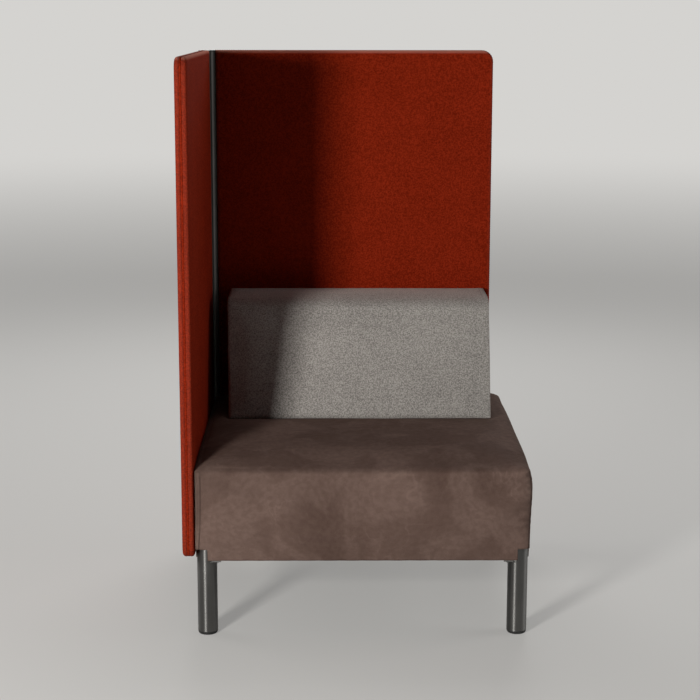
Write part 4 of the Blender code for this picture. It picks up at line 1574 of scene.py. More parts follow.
@dataclass
class Cushion:
    """Loose wedge cushion: its wool cover with sewn ends and a zip behind."""

    shop: Workshop
    padding: Inflation = Inflation(pressure=3.5, cap=0.004)
    base_depth: float = 0.309
    top_depth: float = 0.190
    front_crown: float = 0.006
    top_crown: float = 0.003
    end_crown: float = 0.0012
    end_room: float = 0.003
    rounding: float = 0.006
    left_lean: float = 0.007
    front_shoulder: float = 0.026
    front_roll: float = 0.050
    front_reach: float = 0.11
    back_shoulder: float = 0.010
    back_reach: float = 0.04
    arc_steps: int = 4
    pitch: float = 0.0085
    ridge: float = 0.0014
    ridge_highlight: float = 0.15
    stitch_radius: float = 0.0004
    stitch_length: float = 0.0032
    stitch_pitch: float = 0.0050
    stitch_lift: float = 0.0001
    zip_depth: float = 0.0026
    tape_thickness: float = 0.0006
    tooth_size: Place = (0.0018, 0.0011, 0.0016)
    tooth_pitch: float = 0.0030
    tooth_rise: float = 0.0007
    slider_size: Place = (0.010, 0.0014, 0.0062)
    pull_size: Place = (0.016, 0.0005, 0.0042)

    def build(self) -> None:
        """Make the cover, its stitches and its zip."""
        self.low, self.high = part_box("cushion_cover")
        self.zip_low, self.zip_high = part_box("cushion_zip")
        self.left, self.right = self.low.x + self.end_room, self.high.x - self.end_room
        self.foot, self.top = self.low.z - CUSHION_SINK, self.high.z - self.top_crown
        self.back = self.high.y
        self.block_depth = (self.base_depth + self.top_depth) / 2
        self._build_cover()
        self._build_zip()

    def _depth(self, z: Array) -> Array:
        """Depth of the wedge at a height."""
        share = (z - self.foot) / (self.top - self.foot)
        return self.base_depth + (self.top_depth - self.base_depth) * share

    def _shape(self, points: Array) -> Array:
        """Round the block, ease its top edges, lean its front and swell its faces.

        Args:
            points: places on the plain block.

        Returns:
            The moved points.
        """
        r, depth = self.rounding, self.block_depth
        low, high = (self.left, -depth, self.foot), (self.right, 0.0, self.top)
        shaped = round_block(points, low, high, (r, r, r), (r, r, r))
        y, z = shaped[:, 1].copy(), shaped[:, 2].copy()
        u = (2 * points[:, 0] - self.left - self.right) / (self.right - self.left)
        v = 2 * points[:, 1] / depth + 1
        w = (2 * points[:, 2] - self.foot - self.top) / (self.top - self.foot)
        front = np.clip((r - depth - y) / r, 0.0, 1.0)
        upper = np.clip((z - self.top + r) / r, 0.0, 1.0)
        beyond = np.clip(1 - (1 - np.abs(u)) * (self.right - self.left) / 2 / r, 0.0, 1.0)
        edges = (
            (self.front_roll, self.front_shoulder, ease(1 - (y + depth) / self.front_reach)),
            (-self.back_shoulder, self.back_shoulder, ease(1 + y / self.back_reach)),
        )
        for reach, fall, near in edges:
            shaped[:, 1] += reach * shoulder((z - self.top + fall) / fall) * near
        swell = self.front_crown * hump(u) * (1 - w ** 2) * front
        shaped[:, 1] *= self._depth(z) / depth
        shaped[:, 1] += self.back - swell
        shaped[:, 2] += self.top_crown * hump(u) * hump(v) * upper
        shaped[:, 0] += np.sign(u) * self.end_crown * hump(v) * hump(w) * beyond
        shaped[:, 0] -= self.left_lean * ease(-u) * (w + 1) / 2
        return shaped

    def _lattice(self) -> tuple[Array, Array, Array]:
        """Choose the cover's lattice lines, with some round the zip and over the rolled edge."""
        r, steps, pitch = self.rounding, self.arc_steps, self.pitch
        low, high = self.zip_low, self.zip_high
        heights = [low.z - 0.0012, low.z, high.z, high.z + 0.0012]
        heights += [self.top - self.front_shoulder * share for share in np.linspace(1.0, 0.3, 8)]
        zip_ends = (low.x - 0.001, low.x, high.x, high.x + 0.001)
        return (
            block_lines(self.left, self.right, r, r, steps, pitch, zip_ends),
            block_lines(-self.block_depth, 0.0, r, r, steps, pitch),
            block_lines(self.foot, self.top, r, r, steps, pitch, heights),
        )

    def _build_cover(self) -> None:
        """Make the wool cover: swollen, with a ridge along the seams of its ends."""
        shop = self.shop
        skin = BlockSkin(self._lattice(), lambda axis, end, middle: True)
        base = self._shape(np.array(skin.points))
        mesh = new_mesh("cushion_upholstery", base, skin.quads)
        cover = new_object("cushion_upholstery", mesh)
        resting = np.flatnonzero((base[:, 2] < self.foot + TOUCH) | (base[:, 1] > self.back - TOUCH))
        from_end = np.minimum(base[:, 0] - self.left, self.right - base[:, 0])
        share = (0.25 + 0.75 * ease(from_end / 0.05)) * self._slack(base)
        self.padding.run(cover, resting, share)
        self._sew(mesh, base, skin)
        shop.dress(cover, shop.finishes.wool)
        stitches = self._stitches(mesh, skin)
        shop.adopt(cover, Body.CUSHION, Slot.WOOL, ("cushion_cover", "cushion_foam"))
        shop.adopt(stitches, Body.CUSHION, Slot.WOOL)

    def _slack(self, base: Array) -> Array:
        """Tell how slack the cover is at each point: 1 on its faces and least on its taut top."""
        return 1 - 0.8 * ease((base[:, 2] - self.top + 0.050) / 0.035)

    def _loop(self, skin: BlockSkin, i: int) -> list[int]:
        """Find the vertices round the cushion at one lattice line across it.

        Args:
            skin: the cover's lattice.
            i: the line's number.

        Returns:
            Their numbers, in order.
        """
        _, last_y, last_z = skin.last
        spots = [(j, 0) for j in range(last_y)] + [(last_y, k) for k in range(last_z)]
        spots += [(j, last_z) for j in range(last_y, 0, -1)] + [(0, k) for k in range(last_z, 0, -1)]
        return [skin.number[(i, j, k)] for j, k in spots]

    def _sew(self, mesh: Mesh, base: Array, skin: BlockSkin) -> None:
        """Raise the seams of the ends, paint a highlight along them, sink the zip and make the cover slightly
        uneven.

        Args:
            mesh: the swollen cover.
            base: places of its vertices before it swelled.
            skin: its lattice.
        """
        x, y, z = base.T
        shift = 0.0007 * unevenness(base, 7.0) + 0.0003 * unevenness(base, 21.0)
        shift *= self._slack(base)
        painted_light = np.zeros(len(base))
        last_x = skin.last[0]
        for edge, inner in ((0, 1), (last_x, last_x - 1)):
            seam = self._loop(skin, edge)
            shift[seam] += self.ridge
            shift[self._loop(skin, inner)] -= 0.45 * self.ridge
            # painted highlight along each end's seam ridge
            painted_light[seam] = self.ridge_highlight
        put_painted_light(mesh, painted_light)
        points = points_of(mesh) + normals_of(mesh) * shift[:, None]
        points[:, 2] = np.clip(points[:, 2], self.foot, self.high.z + 0.004)
        points[:, 1] = np.minimum(points[:, 1], self.back)
        low, high = self.zip_low, self.zip_high
        at_zip = (
            (y > self.back - TOUCH) & (x > low.x - WELD) & (x < high.x + WELD)
            & (z > low.z - WELD) & (z < high.z + WELD)
        )
        points[at_zip, 1] = self.back - self.zip_depth
        put_points(mesh, points)

    def _stitches(self, mesh: Mesh, skin: BlockSkin) -> Piece:
        """Sew a row of stitches round each end, beside its seam.

        Args:
            mesh: the finished cover.
            skin: its lattice.

        Returns:
            The stitches.
        """
        points = points_of(mesh) + self.stitch_lift * normals_of(mesh)
        last_x, last_y, last_z = skin.last
        spots = [(0, k) for k in range(self.arc_steps, last_z)]
        spots += [(j, last_z) for j in range(last_y - self.arc_steps)]
        aside = self.arc_steps + 1
        paths = [
            [points[skin.number[(i, j, k)]] for j, k in spots] for i in (aside, last_x - aside)
        ]
        thread = stitch_mesh("cushion_stitch", self.stitch_radius, self.stitch_length)
        shop = self.shop
        return shop.repeats.along_paths(
            "cushion_stitches", paths, self.stitch_pitch, thread, shop.finishes.grey_thread,
        )

    def _build_zip(self) -> None:
        """Make the zip: its tape, two rows of teeth and the slider."""
        shop, finishes = self.shop, self.shop.finishes
        low, high = self.zip_low, self.zip_high
        middle = (low.z + high.z) / 2
        floor = self.back - self.zip_depth + 0.0003
        size = (high.x - low.x, self.tape_thickness, high.z - low.z)
        place = ((low.x + high.x) / 2, floor + self.tape_thickness / 2, middle)
        tape = softened_box("cushion_zip_tape", size, 0.0002, place)
        ribbon = shop.dress(new_object("cushion_zip_tape", tape), finishes.tape)
        rows = []
        for offset, rise in ((0.0, self.tooth_rise), (self.tooth_pitch / 2, -self.tooth_rise)):
            ends = (low.x + 0.004 + offset, high.x - 0.012)
            rows.append([(x, floor + 0.0009, middle + rise) for x in ends])
        tooth = softened_box("zip_tooth", self.tooth_size, 0.0003)
        teeth = shop.repeats.along_paths("cushion_zip_teeth", rows, self.tooth_pitch, tooth, finishes.plastic)
        runner = joined("cushion_zip_slider", (
            softened_box("zip_slider", self.slider_size, 0.0006, (high.x - 0.008, floor + 0.0012, middle)),
            softened_box("zip_pull", self.pull_size, 0.0002, (high.x - 0.020, floor + 0.0021, middle)),
        ))
        shop.dress(runner, finishes.zinc)
        shop.adopt(ribbon, Body.CUSHION, Slot.PLASTIC, ("cushion_zip",))
        shop.adopt(teeth, Body.CUSHION, Slot.PLASTIC)
        shop.adopt(runner, Body.CUSHION, Slot.PLASTIC)


@dataclass
class Screen:
    """Felt screen: two padded felt covers on a board, with a sewn band along their seam.

    Attributes:
        name: left_screen or back_screen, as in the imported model.
        along: direction from the corner post to the screen's free end.
        inward: direction that its inner face looks.
        slot: half of the gap between the covers, where the band shows.
        lip: by row, how far the lip is drawn in and how far it stands over the slot.
    """

    shop: Workshop
    name: str
    along: Vector
    inward: Vector
    edge: float = 0.009
    corner: float = 0.030
    slot: float = 0.0027
    band_width: float = 0.0042
    band_recess: float = 0.0010
    band_thickness: float = 0.0008
    felt_thickness: float = 0.0016
    edge_steps: int = 7
    insets: tuple[float, ...] = (0.0105, 0.015, 0.021)
    lip: tuple[tuple[float, float], ...] = ((0.0, 0.0016), (0.0004, 0.0006), (0.0012, 0.0))
    pitch: float = 0.016
    pillow: float = 0.0011
    pillow_reach: float = 0.014
    waviness: float = 0.0005
    edge_sheen: float = 0.035
    top_sheen: float = 0.65
    outline_steps: int = 60
    corner_steps: int = 13
    stitch_radius: float = 0.0004
    stitch_length: float = 0.0034
    stitch_pitch: float = 0.0062
    stitch_aside: float = 0.0026
    stitch_lift: float = 0.0001

    def build(self) -> None:
        """Make both covers, the band and its stitches."""
        shop = self.shop
        self._measure()
        for label, facing in (("inner", self.inward), ("outer", -self.inward)):
            panel = self._panel(f"{self.name}_{label}_panel", facing)
            shop.dress(panel, shop.finishes.felt)
            thicken(panel, self.felt_thickness)
            replaced = (f"{self.name}_{label}_cover", f"{self.name}_{label}_pad")
            shop.adopt(panel, Body.BENCH, Slot.FELT, replaced)
        band = shop.dress(self._band(), shop.finishes.felt)
        shop.adopt(band, Body.BENCH, Slot.FELT, (f"{self.name}_seam_band",))
        shop.adopt(self._stitches(), Body.BENCH, Slot.FELT)

    def _measure(self) -> None:
        """Find the screen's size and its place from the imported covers."""
        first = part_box(f"{self.name}_inner_cover")
        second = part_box(f"{self.name}_outer_cover")
        low = Vector(map(min, first[0], second[0]))
        high = Vector(map(max, first[1], second[1]))
        size = high - low
        self.width = abs(size.dot(self.along))
        self.height = size.z
        self.half = abs(size.dot(self.inward)) / 2
        middle = (low + high) / 2
        self.origin = middle - self.along * self.width / 2

    def _world(self, outline: Array, out: Array | float, facing: Vector) -> Array:
        """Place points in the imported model's frame.

        Args:
            outline: their places along the screen and up it, about its middle.
            out: how far they stand out of the screen's middle.
            facing: the direction out.

        Returns:
            The points.
        """
        up = np.array((0.0, 0.0, 1.0))
        s, t = outline.T
        h = np.broadcast_to(out, len(outline))
        return (np.array(self.origin) + np.outer(s, np.array(self.along)) + np.outer(t, up)
                + np.outer(h, np.array(facing)))

    def _lines(self, length: float) -> Array:
        """Choose lattice lines from 0 to a length, close together over the round edge and the corner.

        Args:
            length: the screen's width or height.

        Returns:
            The lines, in order.
        """
        turns = [math.pi / 2 * k / self.edge_steps for k in range(self.edge_steps + 1)]
        ends = np.array([self.edge * (1 - math.cos(turn)) for turn in turns] + [*self.insets, self.corner])
        count = round((length - 2 * self.corner) / self.pitch)
        inner = np.linspace(self.corner, length - self.corner, count + 1)[1:-1]
        return np.concatenate((ends, inner, length - ends[::-1]))

    def _rounded(self, s: Array, t: Array) -> tuple[Array, Array]:
        """Round the two corners of the free end.

        Args:
            s: places along the screen.
            t: places up it, about its middle.

        Returns:
            The moved places and each point's distance from the outline.
        """
        from_end = self.width - s
        from_top = self.height / 2 - np.abs(t)
        reach_s = self.corner - from_end
        reach_t = self.corner - from_top
        in_corner = (reach_s > 0) & (reach_t > 0)
        square = np.maximum(reach_s, reach_t)
        length = np.maximum(np.hypot(reach_s, reach_t), TINY)
        factor = np.where(in_corner, square / length, 1.0)
        new_s = np.where(in_corner, self.width - self.corner + reach_s * factor, s)
        new_t = np.where(in_corner, np.sign(t) * (self.height / 2 - self.corner + reach_t * factor), t)
        inset = np.where(in_corner, self.corner - square, np.minimum(np.minimum(from_end, from_top), s))
        return np.column_stack((new_s, new_t)), inset

    def _panel(self, name: str, facing: Vector) -> Piece:
        """Make one padded cover: its face, rolled edges and the lip at the seam, with painted sheen on its
        rolled edges and more along its top edge.

        Args:
            name: the piece's name.
            facing: direction that the cover looks.

        Returns:
            The piece.
        """
        lines_s = self._lines(self.width)
        lines_t = self._lines(self.height) - self.height / 2
        grid_s, grid_t = (grid.ravel() for grid in np.meshgrid(lines_s, lines_t, indexing="ij"))
        spots, inset = self._rounded(grid_s, grid_t)
        over = np.clip(self.edge - inset, 0.0, self.edge)
        out = self.half - self.edge + np.sqrt(np.maximum(self.edge ** 2 - over ** 2, 0.0))
        padded = np.clip(inset / self.edge, 0.0, 1.0)
        wavy = 0.5 + 0.5 * unevenness(self._world(spots, out, facing), 4.5)
        out -= self.pillow * np.exp(-np.maximum(inset - self.edge, 0.0) / self.pillow_reach) * padded
        out -= self.waviness * wavy * padded
        number = np.arange(len(spots)).reshape(len(lines_s), len(lines_t))
        corners = (number[:-1, :-1], number[1:, :-1], number[1:, 1:], number[:-1, 1:])
        quads = np.stack([corner.ravel() for corner in corners], axis=1).tolist()
        rim = np.concatenate((number[:-1, 0], number[-1, :-1], number[:0:-1, -1], number[0, :0:-1]))
        points = [self._world(spots, out, facing)]
        previous = rim
        for ring, level in self._lip(spots[rim]):
            current = len(spots) + len(rim) * (len(points) - 1) + np.arange(len(rim))
            points.append(self._world(ring, level, facing))
            sides = (np.roll(previous, -1), previous, current, np.roll(current, -1))
            quads += np.stack(sides, axis=1).tolist()
            previous = current
        mesh = new_mesh(name, np.concatenate(points), quads)
        # painted sheen: a little on the rolled edges, much more on the top edge where light from above
        # catches
        upper = np.clip(1 - (self.height / 2 - spots[:, 1]) / self.edge, 0.0, 1.0)
        painted_sheen = self.edge_sheen * (1 - padded) + self.top_sheen * upper
        put_painted_light(mesh, np.concatenate((painted_sheen, np.tile(painted_sheen[rim], len(self.lip)))))
        self._face_out(mesh, len(mesh.polygons) // 3, facing)
        return new_object(name, mesh)

    def _lip(self, outline: Array) -> list[tuple[Array, float]]:
        """Turn a cover's rim into the slot.

        Args:
            outline: the rim's places along the screen and up it.

        Returns:
            The lip's rings and how far each one stands out of the screen's middle.
        """
        tangent = np.roll(outline, -1, axis=0) - np.roll(outline, 1, axis=0)
        tangent /= np.linalg.norm(tangent, axis=1, keepdims=True)
        into = np.column_stack((-tangent[:, 1], tangent[:, 0]))
        return [(outline + into * drawn_in, self.slot + rise) for drawn_in, rise in self.lip]

    @staticmethod
    def _face_out(mesh: Mesh, face: int, facing: Vector) -> None:
        """Turn a mesh's faces over where one of them, given by number, looks the other way."""
        if mesh.polygons[face].normal.dot(facing) < 0:
            mesh.flip_normals()

    def _free_outline(self, inset: float) -> tuple[Array, Array]:
        """Trace the free edges, from the post's foot to its top.

        Args:
            inset: how far inside the edges.

        Returns:
            The points along the screen and up it, and their outward directions.
        """
        radius = self.corner - inset
        half = self.height / 2 - inset
        end = self.width - inset
        steps = [end * k / self.outline_steps for k in range(self.outline_steps)]
        level = [s for s in steps if s < end - radius]
        path = [(s, -half) for s in level]
        out = [(0.0, -1.0)] * len(level)
        for start, middle in ((-math.pi / 2, radius - half), (0.0, half - radius)):
            for turn in np.linspace(start, start + math.pi / 2, self.corner_steps):
                out.append((math.cos(turn), math.sin(turn)))
                path.append((end - radius + radius * math.cos(turn), middle + radius * math.sin(turn)))
        path += [(s, half) for s in reversed(level)]
        out += [(0.0, 1.0)] * len(level)
        return np.array(path), np.array(out)

    def _band(self) -> Piece:
        """Make the sewn band between the two covers, slightly domed."""
        path, out = self._free_outline(self.band_recess)
        half = self.band_width / 2
        dome = [(-1.0, -0.0016), (-1.0, -0.0003), (-0.6, 0.0001), (0.0, 0.00025)]
        profile = dome + [(-across, rise) for across, rise in reversed(dome[:-1])]
        points = [self._world(path + out * rise, half * across, self.inward) for across, rise in profile]
        count = len(path)
        quads = []
        for row in range(len(profile) - 1):
            for first in range(row * count, (row + 1) * count - 1):
                quads.append([first, first + 1, first + count + 1, first + count])
        mesh = new_mesh(f"{self.name}_seam", np.concatenate(points), quads)
        self._face_out(mesh, len(mesh.polygons) // 2, self.along)
        band = new_object(f"{self.name}_seam", mesh)
        thicken(band, self.band_thickness)
        return band

    def _stitches(self) -> Piece:
        """Sew a row of stitches on both sides of the band."""
        path, out = self._free_outline(0.0)
        ring = path + out * self.stitch_lift
        aside = self.slot + self.stitch_aside
        paths = [self._world(ring, level, self.inward) for level in (aside, -aside)]
        thread = stitch_mesh(f"{self.name}_stitch", self.stitch_radius, self.stitch_length)
        shop = self.shop
        return shop.repeats.along_paths(
            f"{self.name}_stitches", paths, self.stitch_pitch, thread, shop.finishes.red_thread,
        )


@dataclass
class CornerPost:
    """Extruded metal post between the screens, with its two caps."""

    shop: Workshop
    edge: float = 0.0005

    def build(self) -> None:
        """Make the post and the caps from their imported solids, with eased edges."""
        shop = self.shop
        post = shop.softened("corner_post_extrusion", ("corner_post",), self.edge)
        shop.dress(post, shop.finishes.anodised)
        shop.adopt(post, Body.BENCH, Slot.ANODISED, ("corner_post",))
        caps = ("corner_post_top_cap", "corner_post_foot_cap")
        pair = shop.dress(shop.softened("corner_post_caps", caps, self.edge), shop.finishes.plastic)
        shop.adopt(pair, Body.BENCH, Slot.PLASTIC, caps)


@dataclass
class Legs:
    """Steel legs: tubes, welded plates and bolts, with a levelling glide in each foot."""

    shop: Workshop
    wall: float = 0.002
    chamfer: float = 0.0007
    tube_sides: int = 96
    plate_thickness: float = 0.005
    plate_edge: float = 0.0006
    weld_radius: float = 0.0013
    weld_height: float = 0.0009
    weld_side: float = 0.0006
    weld_pitch: float = 0.0017
    weld_gap: float = 0.0006
    weld_spread: float = math.radians(115)
    bolt_sides: int = 36
    bolt_rise: float = 0.004
    bolt_shank: float = 0.004
    bolt_chamfer: float = 0.001
    bolt_turn: float = 0.4
    glide_sides: int = 64
    glide_play: float = 0.0004
    foot_height: float = 0.0052
    stem_radius: float = 0.005
    rib_count: int = 30
    thread_pitch: float = 0.0015
    thread_depth: float = 0.0006

    def build(self) -> None:
        """Make all four legs."""
        self.centres = {}
        for corner in CORNERS:
            low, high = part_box(f"leg_tube_{corner}")
            self.centres[corner] = (low + high) / 2
        self.low, self.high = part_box("leg_tube_front_left")
        self.radius = (self.high.x - self.low.x) / 2
        self._build_tubes()
        self._build_plates()
        self._build_bolts()
        for corner in CORNERS:
            self._build_glide(corner)

    @staticmethod
    def _nodes(name: str) -> list[str]:
        """Names of a piece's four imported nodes, one at each corner."""
        return [f"{name}_{corner}" for corner in CORNERS]

    def _build_tubes(self) -> None:
        """Make the four tubes, with eased ends."""
        shop, eased = self.shop, self.chamfer
        outer, inner = self.radius, self.radius - self.wall
        half = (self.high.z - self.low.z) / 2
        profile = [
            (inner + eased, half), (outer - eased, half), (outer, half - eased), (outer, eased - half),
            (outer - eased, -half), (inner + eased, -half), (inner, eased - half), (inner, half - eased),
        ]
        tube = turned_mesh("leg_tube", profile, self.tube_sides, ring=True)
        spots = list(self.centres.values())
        tubes = shop.repeats.at_points("leg_tubes", spots, math.pi / 2, tube, shop.finishes.tube_steel)
        tubes.data.shade_smooth()
        tubes.data.set_sharp_from_angle(angle=math.radians(35))
        self._map_grain(tubes.data)
        shop.adopt(tubes, Body.BENCH, Slot.STEEL, self._nodes("leg_tube"))

    def _map_grain(self, mesh: Mesh) -> None:
        """Lay the tubes' map: its first axis runs up the tube and its second one round it.

        Args:
            mesh: the four tubes.
        """
        layer = mesh.uv_layers.new(name=TUBE_GRAIN)
        centres = list(self.centres.values())
        for loop in mesh.loops:
            place = mesh.vertices[loop.vertex_index].co
            centre = min(centres, key=lambda spot: (spot - place).xy.length)
            angle = math.atan2(place.y - centre.y, place.x - centre.x)
            layer.data[loop.index].uv = (place.z, angle / math.tau)

    def _build_plates(self) -> None:
        """Make the plates with their gussets, and the weld under each plate."""
        shop, nodes = self.shop, self._nodes("leg_plate")
        plates = shop.dress(shop.softened("leg_plates", nodes, self.plate_edge), shop.finishes.steel)
        shop.adopt(plates, Body.BENCH, Slot.STEEL, nodes)
        reach = self.radius + self.weld_gap
        paths = []
        for node, centre in zip(nodes, self.centres.values()):
            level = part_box(node)[1].z - self.plate_thickness
            inward = math.atan2(-centre.y, -centre.x)
            angles = np.linspace(inward - self.weld_spread, inward + self.weld_spread, 40)
            ring = [(centre.x + reach * math.cos(a), centre.y + reach * math.sin(a)) for a in angles]
            paths.append([(x, y, level) for x, y in ring])
        upper = [(0.0, self.weld_height), (self.weld_radius * 0.8, self.weld_side)]
        lower = [(radius, -height) for radius, height in reversed(upper)]
        ripple = turned_mesh("weld_ripple", [*upper, (self.weld_radius, 0.0), *lower], 10)
        welds = shop.repeats.along_paths("leg_welds", paths, self.weld_pitch, ripple, shop.finishes.steel)
        shop.adopt(welds, Body.BENCH, Slot.STEEL)

    def _build_bolts(self) -> None:
        """Make the bolts with their hexagon sockets, heads down."""
        shop, nodes = self.shop, self._nodes("leg_bolt")
        boxes = [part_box(node) for node in nodes]
        spots = [((low.x + high.x) / 2, (low.y + high.y) / 2, low.z) for low, high in boxes]
        low, high = boxes[0]
        bolt = self._bolt_mesh((high.x - low.x) / 2, high.z - low.z)
        bolts = shop.repeats.at_points("leg_bolts", spots, self.bolt_turn, bolt, shop.finishes.zinc)
        shop.adopt(bolts, Body.BENCH, Slot.ZINC, nodes)

    def _bolt_mesh(self, head: float, length: float) -> Mesh:
        """Make a bolt that stands on its head, with a hexagon socket in it.

        Args:
            head: radius of the head.
            length: whole length.

        Returns:
            The mesh, with the head's face at z = 0.
        """
        sides, rise, shank = self.bolt_sides, self.bolt_rise, self.bolt_shank
        angles = np.arange(sides) * math.tau / sides
        turned = angles % (math.pi / 3) - math.pi / 6
        hexagon = head * 0.5 * math.cos(math.pi / 6) / np.cos(turned)
        rings = (
            (hexagon, rise * 0.6), (hexagon, 0.0), (head * 0.86, 0.0), (head, rise * 0.25), (head, rise),
            (shank, rise), (shank, length - self.bolt_chamfer), (shank - self.bolt_chamfer, length),
        )
        bm = bmesh.new()
        loops = []
        for radius, height in rings:
            spots = zip(radius * np.cos(angles), radius * np.sin(angles))
            loops.append([bm.verts.new((x, y, height)) for x, y in spots])
        bm.faces.new(loops[0][::-1])
        bm.faces.new(loops[-1])
        for lower, upper in zip(loops, loops[1:]):
            for step in range(sides):
                after = (step + 1) % sides
                bm.faces.new((lower[step], lower[after], upper[after], upper[step]))
        bmesh.ops.recalc_face_normals(bm, faces=bm.faces)
        return mesh_of(bm, "leg_bolt", 35)

    def _build_glide(self, corner: str) -> None:
        """Make one levelling glide: a ribbed foot on a threaded stem.

        Args:
            corner: the leg that it is in.
        """
        shop, plastic = self.shop, self.shop.finishes.plastic
        node = f"levelling_glide_{corner}"
        low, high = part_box(node)
        centre = (low + high) / 2
        radius = (high.x - low.x) / 2 - self.glide_play
        foot, stem, root = self.foot_height, self.stem_radius, self.stem_radius - self.thread_depth
        profile = [(0.0, high.z), (stem - 0.0008, high.z)]
        for turn in range(int((high.z - foot - 0.001) / self.thread_pitch)):
            level = high.z - 0.0006 - turn * self.thread_pitch
            profile += [(stem, level), (root, level - self.thread_pitch / 2)]
        profile += [
            (root, foot), (radius - 0.0006, foot), (radius, foot - 0.0006), (radius, 0.0016),
            (radius - 0.0005, 0.0006), (radius - 0.0018, 0.0), (0.0, 0.0),
        ]
        mesh = turned_mesh(f"{node}_foot", profile, self.glide_sides)
        mesh.transform(Matrix.Translation((centre.x, centre.y, 0.0)))
        glide = shop.dress(new_object(f"{node}_foot", mesh), plastic)
        level = (foot + 0.0014) / 2
        step = math.tau / self.rib_count
        angles = [step * k for k in range(self.rib_count)]
        ring = [(centre.x + radius * math.cos(a), centre.y + radius * math.sin(a), level) for a in angles]
        rib = softened_box("glide_rib", (0.0016, 0.0008, foot - 0.0022), 0.0003)
        ribs = shop.repeats.at_points(f"{node}_ribs", ring, step, rib, plastic)
        body = Body(f"glide_{corner}")
        shop.adopt(glide, body, Slot.PLASTIC, (node,))
        shop.adopt(ribs, body, Slot.PLASTIC)


@dataclass
class HiddenFrame:
    """What the covers hide: timber rails, blocks and boards, straps, sockets and bolts."""

    shop: Workshop
    strap_count: int = 5

    def build(self) -> None:
        """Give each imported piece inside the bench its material."""
        paint, finishes = self.shop.paint, self.shop.finishes
        paint(("frame_front_rail", "frame_rear_rail"), finishes.wood_across)
        paint(("frame_left_rail", "frame_right_rail", "frame_centre_rail"), finishes.wood_along)
        paint([f"corner_block_{corner}" for corner in CORNERS], finishes.wood_upright)
        paint(("left_screen_core", "back_screen_core"), finishes.wood_upright)
        paint([f"webbing_strap_{k + 1}" for k in range(self.strap_count)], finishes.webbing)
        paint([f"glide_socket_{corner}" for corner in CORNERS], finishes.plastic)
        bolts = [f"{side}_screen_bolt_{place}" for side in ("left", "back") for place in ("first", "second")]
        paint(bolts, finishes.zinc)


# Studio


@dataclass(frozen=True)
class PhotoCamera:
    """Camera at the photograph's view, for a square picture."""

    place: Place = (-0.0553, -4.3087, 1.4626)
    pitch_down: float = math.radians(11.04)
    turn: float = math.radians(-0.56)
    roll: float = math.radians(0.07)
    focal_pixels: float = 1709.56
    picture_pixels: float = 700.0
    sensor: float = 36.0

    def build(self) -> None:
        """Make the camera and let the scene use it."""
        data = bpy.data.cameras.new("photo_camera")
        data.sensor_width = self.sensor
        data.lens = self.focal_pixels / self.picture_pixels * self.sensor
        camera = new_object("photo_camera", data)
        heading = Matrix.Rotation(self.turn, 4, "Z")
        tilt = Matrix.Rotation(math.pi / 2 - self.pitch_down, 4, "X")
        roll = Matrix.Rotation(self.roll, 4, "Z")
        camera.matrix_world = Matrix.Translation(self.place) @ heading @ tilt @ roll
        bpy.context.scene.camera = camera


@dataclass(frozen=True)
class SoftLamp:
    """Square studio lamp that looks at a point."""

    name: str
    place: Place
    target: Place
    size: float
    power: float
    colour: Colour = (1.0, 1.0, 1.0)

    def build(self) -> None:
        """Make the lamp."""
        data = bpy.data.lights.new(self.name, "AREA")
        data.shape = "SQUARE"
        data.size = self.size
        data.energy = self.power
        data.color = self.colour
        lamp = new_object(self.name, data)
        lamp.location = self.place
        lamp.rotation_euler = (Vector(self.target) - Vector(self.place)).to_track_quat("-Z", "Y").to_euler()


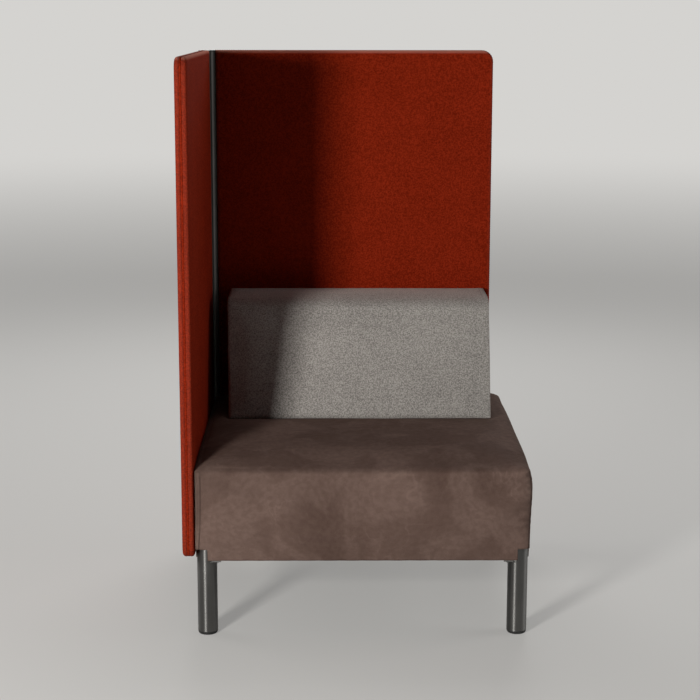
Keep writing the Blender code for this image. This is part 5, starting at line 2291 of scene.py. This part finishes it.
@dataclass(frozen=True)
class Studio:
    """Plain pale floor and background, and the lamps."""

    backdrop: Colour = (0.66, 0.65, 0.63)
    floor: Colour = (0.62, 0.61, 0.59)
    ambient: float = 0.024
    floor_radius: float = 60.0
    floor_glow: float = 0.35
    fade_start: float = 1.0
    fade_end: float = 15.0
    lamps: tuple[SoftLamp, ...] = (
        SoftLamp("key_lamp", (-1.67, -3.29, 1.34), (0.0, 0.0, 0.75), 0.48, 104.0, (1.0, 0.985, 0.96)),
        SoftLamp("fill_lamp", (2.75, 0.00, 1.15), (-0.4, 0.0, 0.75), 1.6, 18.0),
        SoftLamp("rear_lamp", (0.10, 3.00, 3.00), (0.0, 0.3, 0.80), 2.6, 72.0),
        SoftLamp("side_lamp", (-3.80, 1.60, 2.30), (-0.3, 0.0, 0.80), 2.2, 26.0),
    )

    def build(self) -> None:
        """Make the floor, the world and the lamps."""
        bpy.context.scene.view_settings.view_transform = "Standard"
        self._build_floor()
        self._build_world()
        for lamp in self.lamps:
            lamp.build()

    @staticmethod
    def _seen(graph: Graph) -> Socket:
        """Tell camera, mirror and glass rays from those that carry light."""
        path = graph.node("ShaderNodeLightPath").outputs
        either = graph.math("MAXIMUM", path["Is Camera Ray"], path["Is Glossy Ray"])
        return graph.math("MAXIMUM", either, path["Is Transmission Ray"])

    def _build_floor(self) -> None:
        """Make the floor, which fades into the background far from the bench."""
        bm = bmesh.new()
        bmesh.ops.create_circle(bm, cap_ends=True, segments=96, radius=self.floor_radius)
        mesh = bpy.data.meshes.new("studio_floor")
        bm.to_mesh(mesh)
        bm.free()
        material = bpy.data.materials.new("studio_floor")
        material.use_nodes = True
        graph = Graph(material.node_tree)
        where = graph.node("ShaderNodeTexCoord").outputs["Object"]
        distance = graph.node("ShaderNodeVectorMath", {0: where}, operation="LENGTH").outputs["Value"]
        faded = graph.between(distance, self.fade_start, self.fade_end, self.floor_glow, 1.0)
        glow = graph.node("ShaderNodeEmission", {"Color": rgba(self.backdrop), "Strength": 1.0})
        matte = graph.node("ShaderNodeBsdfPrincipled", {"Base Color": rgba(self.floor), "Roughness": 0.75})
        share = graph.math("MULTIPLY", faded, self._seen(graph))
        shaders = {0: share, 1: matte.outputs[0], 2: glow.outputs[0]}
        mixed = graph.node("ShaderNodeMixShader", shaders).outputs[0]
        graph.node("ShaderNodeOutputMaterial", {"Surface": mixed})
        mesh.materials.append(material)
        new_object("studio_floor", mesh)

    def _build_world(self) -> None:
        """Make the background, pale to look at and dim as a light."""
        world = bpy.data.worlds.new("studio")
        world.use_nodes = True
        bpy.context.scene.world = world
        graph = Graph(world.node_tree)
        dim = graph.node("ShaderNodeBackground", {"Color": (1.0, 1.0, 1.0, 1.0), "Strength": self.ambient})
        pale = graph.node("ShaderNodeBackground", {"Color": rgba(self.backdrop), "Strength": 1.0})
        shaders = {0: self._seen(graph), 1: dim.outputs[0], 2: pale.outputs[0]}
        mixed = graph.node("ShaderNodeMixShader", shaders).outputs[0]
        graph.node("ShaderNodeOutputWorld", {"Surface": mixed})


def clear_start_scene() -> None:
    """Remove what a new Blender file starts with."""
    for item in list(bpy.data.objects):
        bpy.data.objects.remove(item, do_unlink=True)


def main() -> None:
    """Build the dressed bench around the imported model, and the studio."""
    logging.basicConfig(level=logging.INFO, format="%(name)s: %(message)s")
    clear_start_scene()
    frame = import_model()
    PhotoCamera().build()
    Studio().build()
    shop = Workshop(frame)
    forward, right = Vector((0.0, -1.0, 0.0)), Vector((1.0, 0.0, 0.0))
    parts = (
        Seat(shop), Cushion(shop), Screen(shop, "left_screen", forward, right),
        Screen(shop, "back_screen", right, forward), CornerPost(shop), Legs(shop), HiddenFrame(shop),
    )
    for part in parts:
        part.build()


if __name__ == "__main__":
    main()
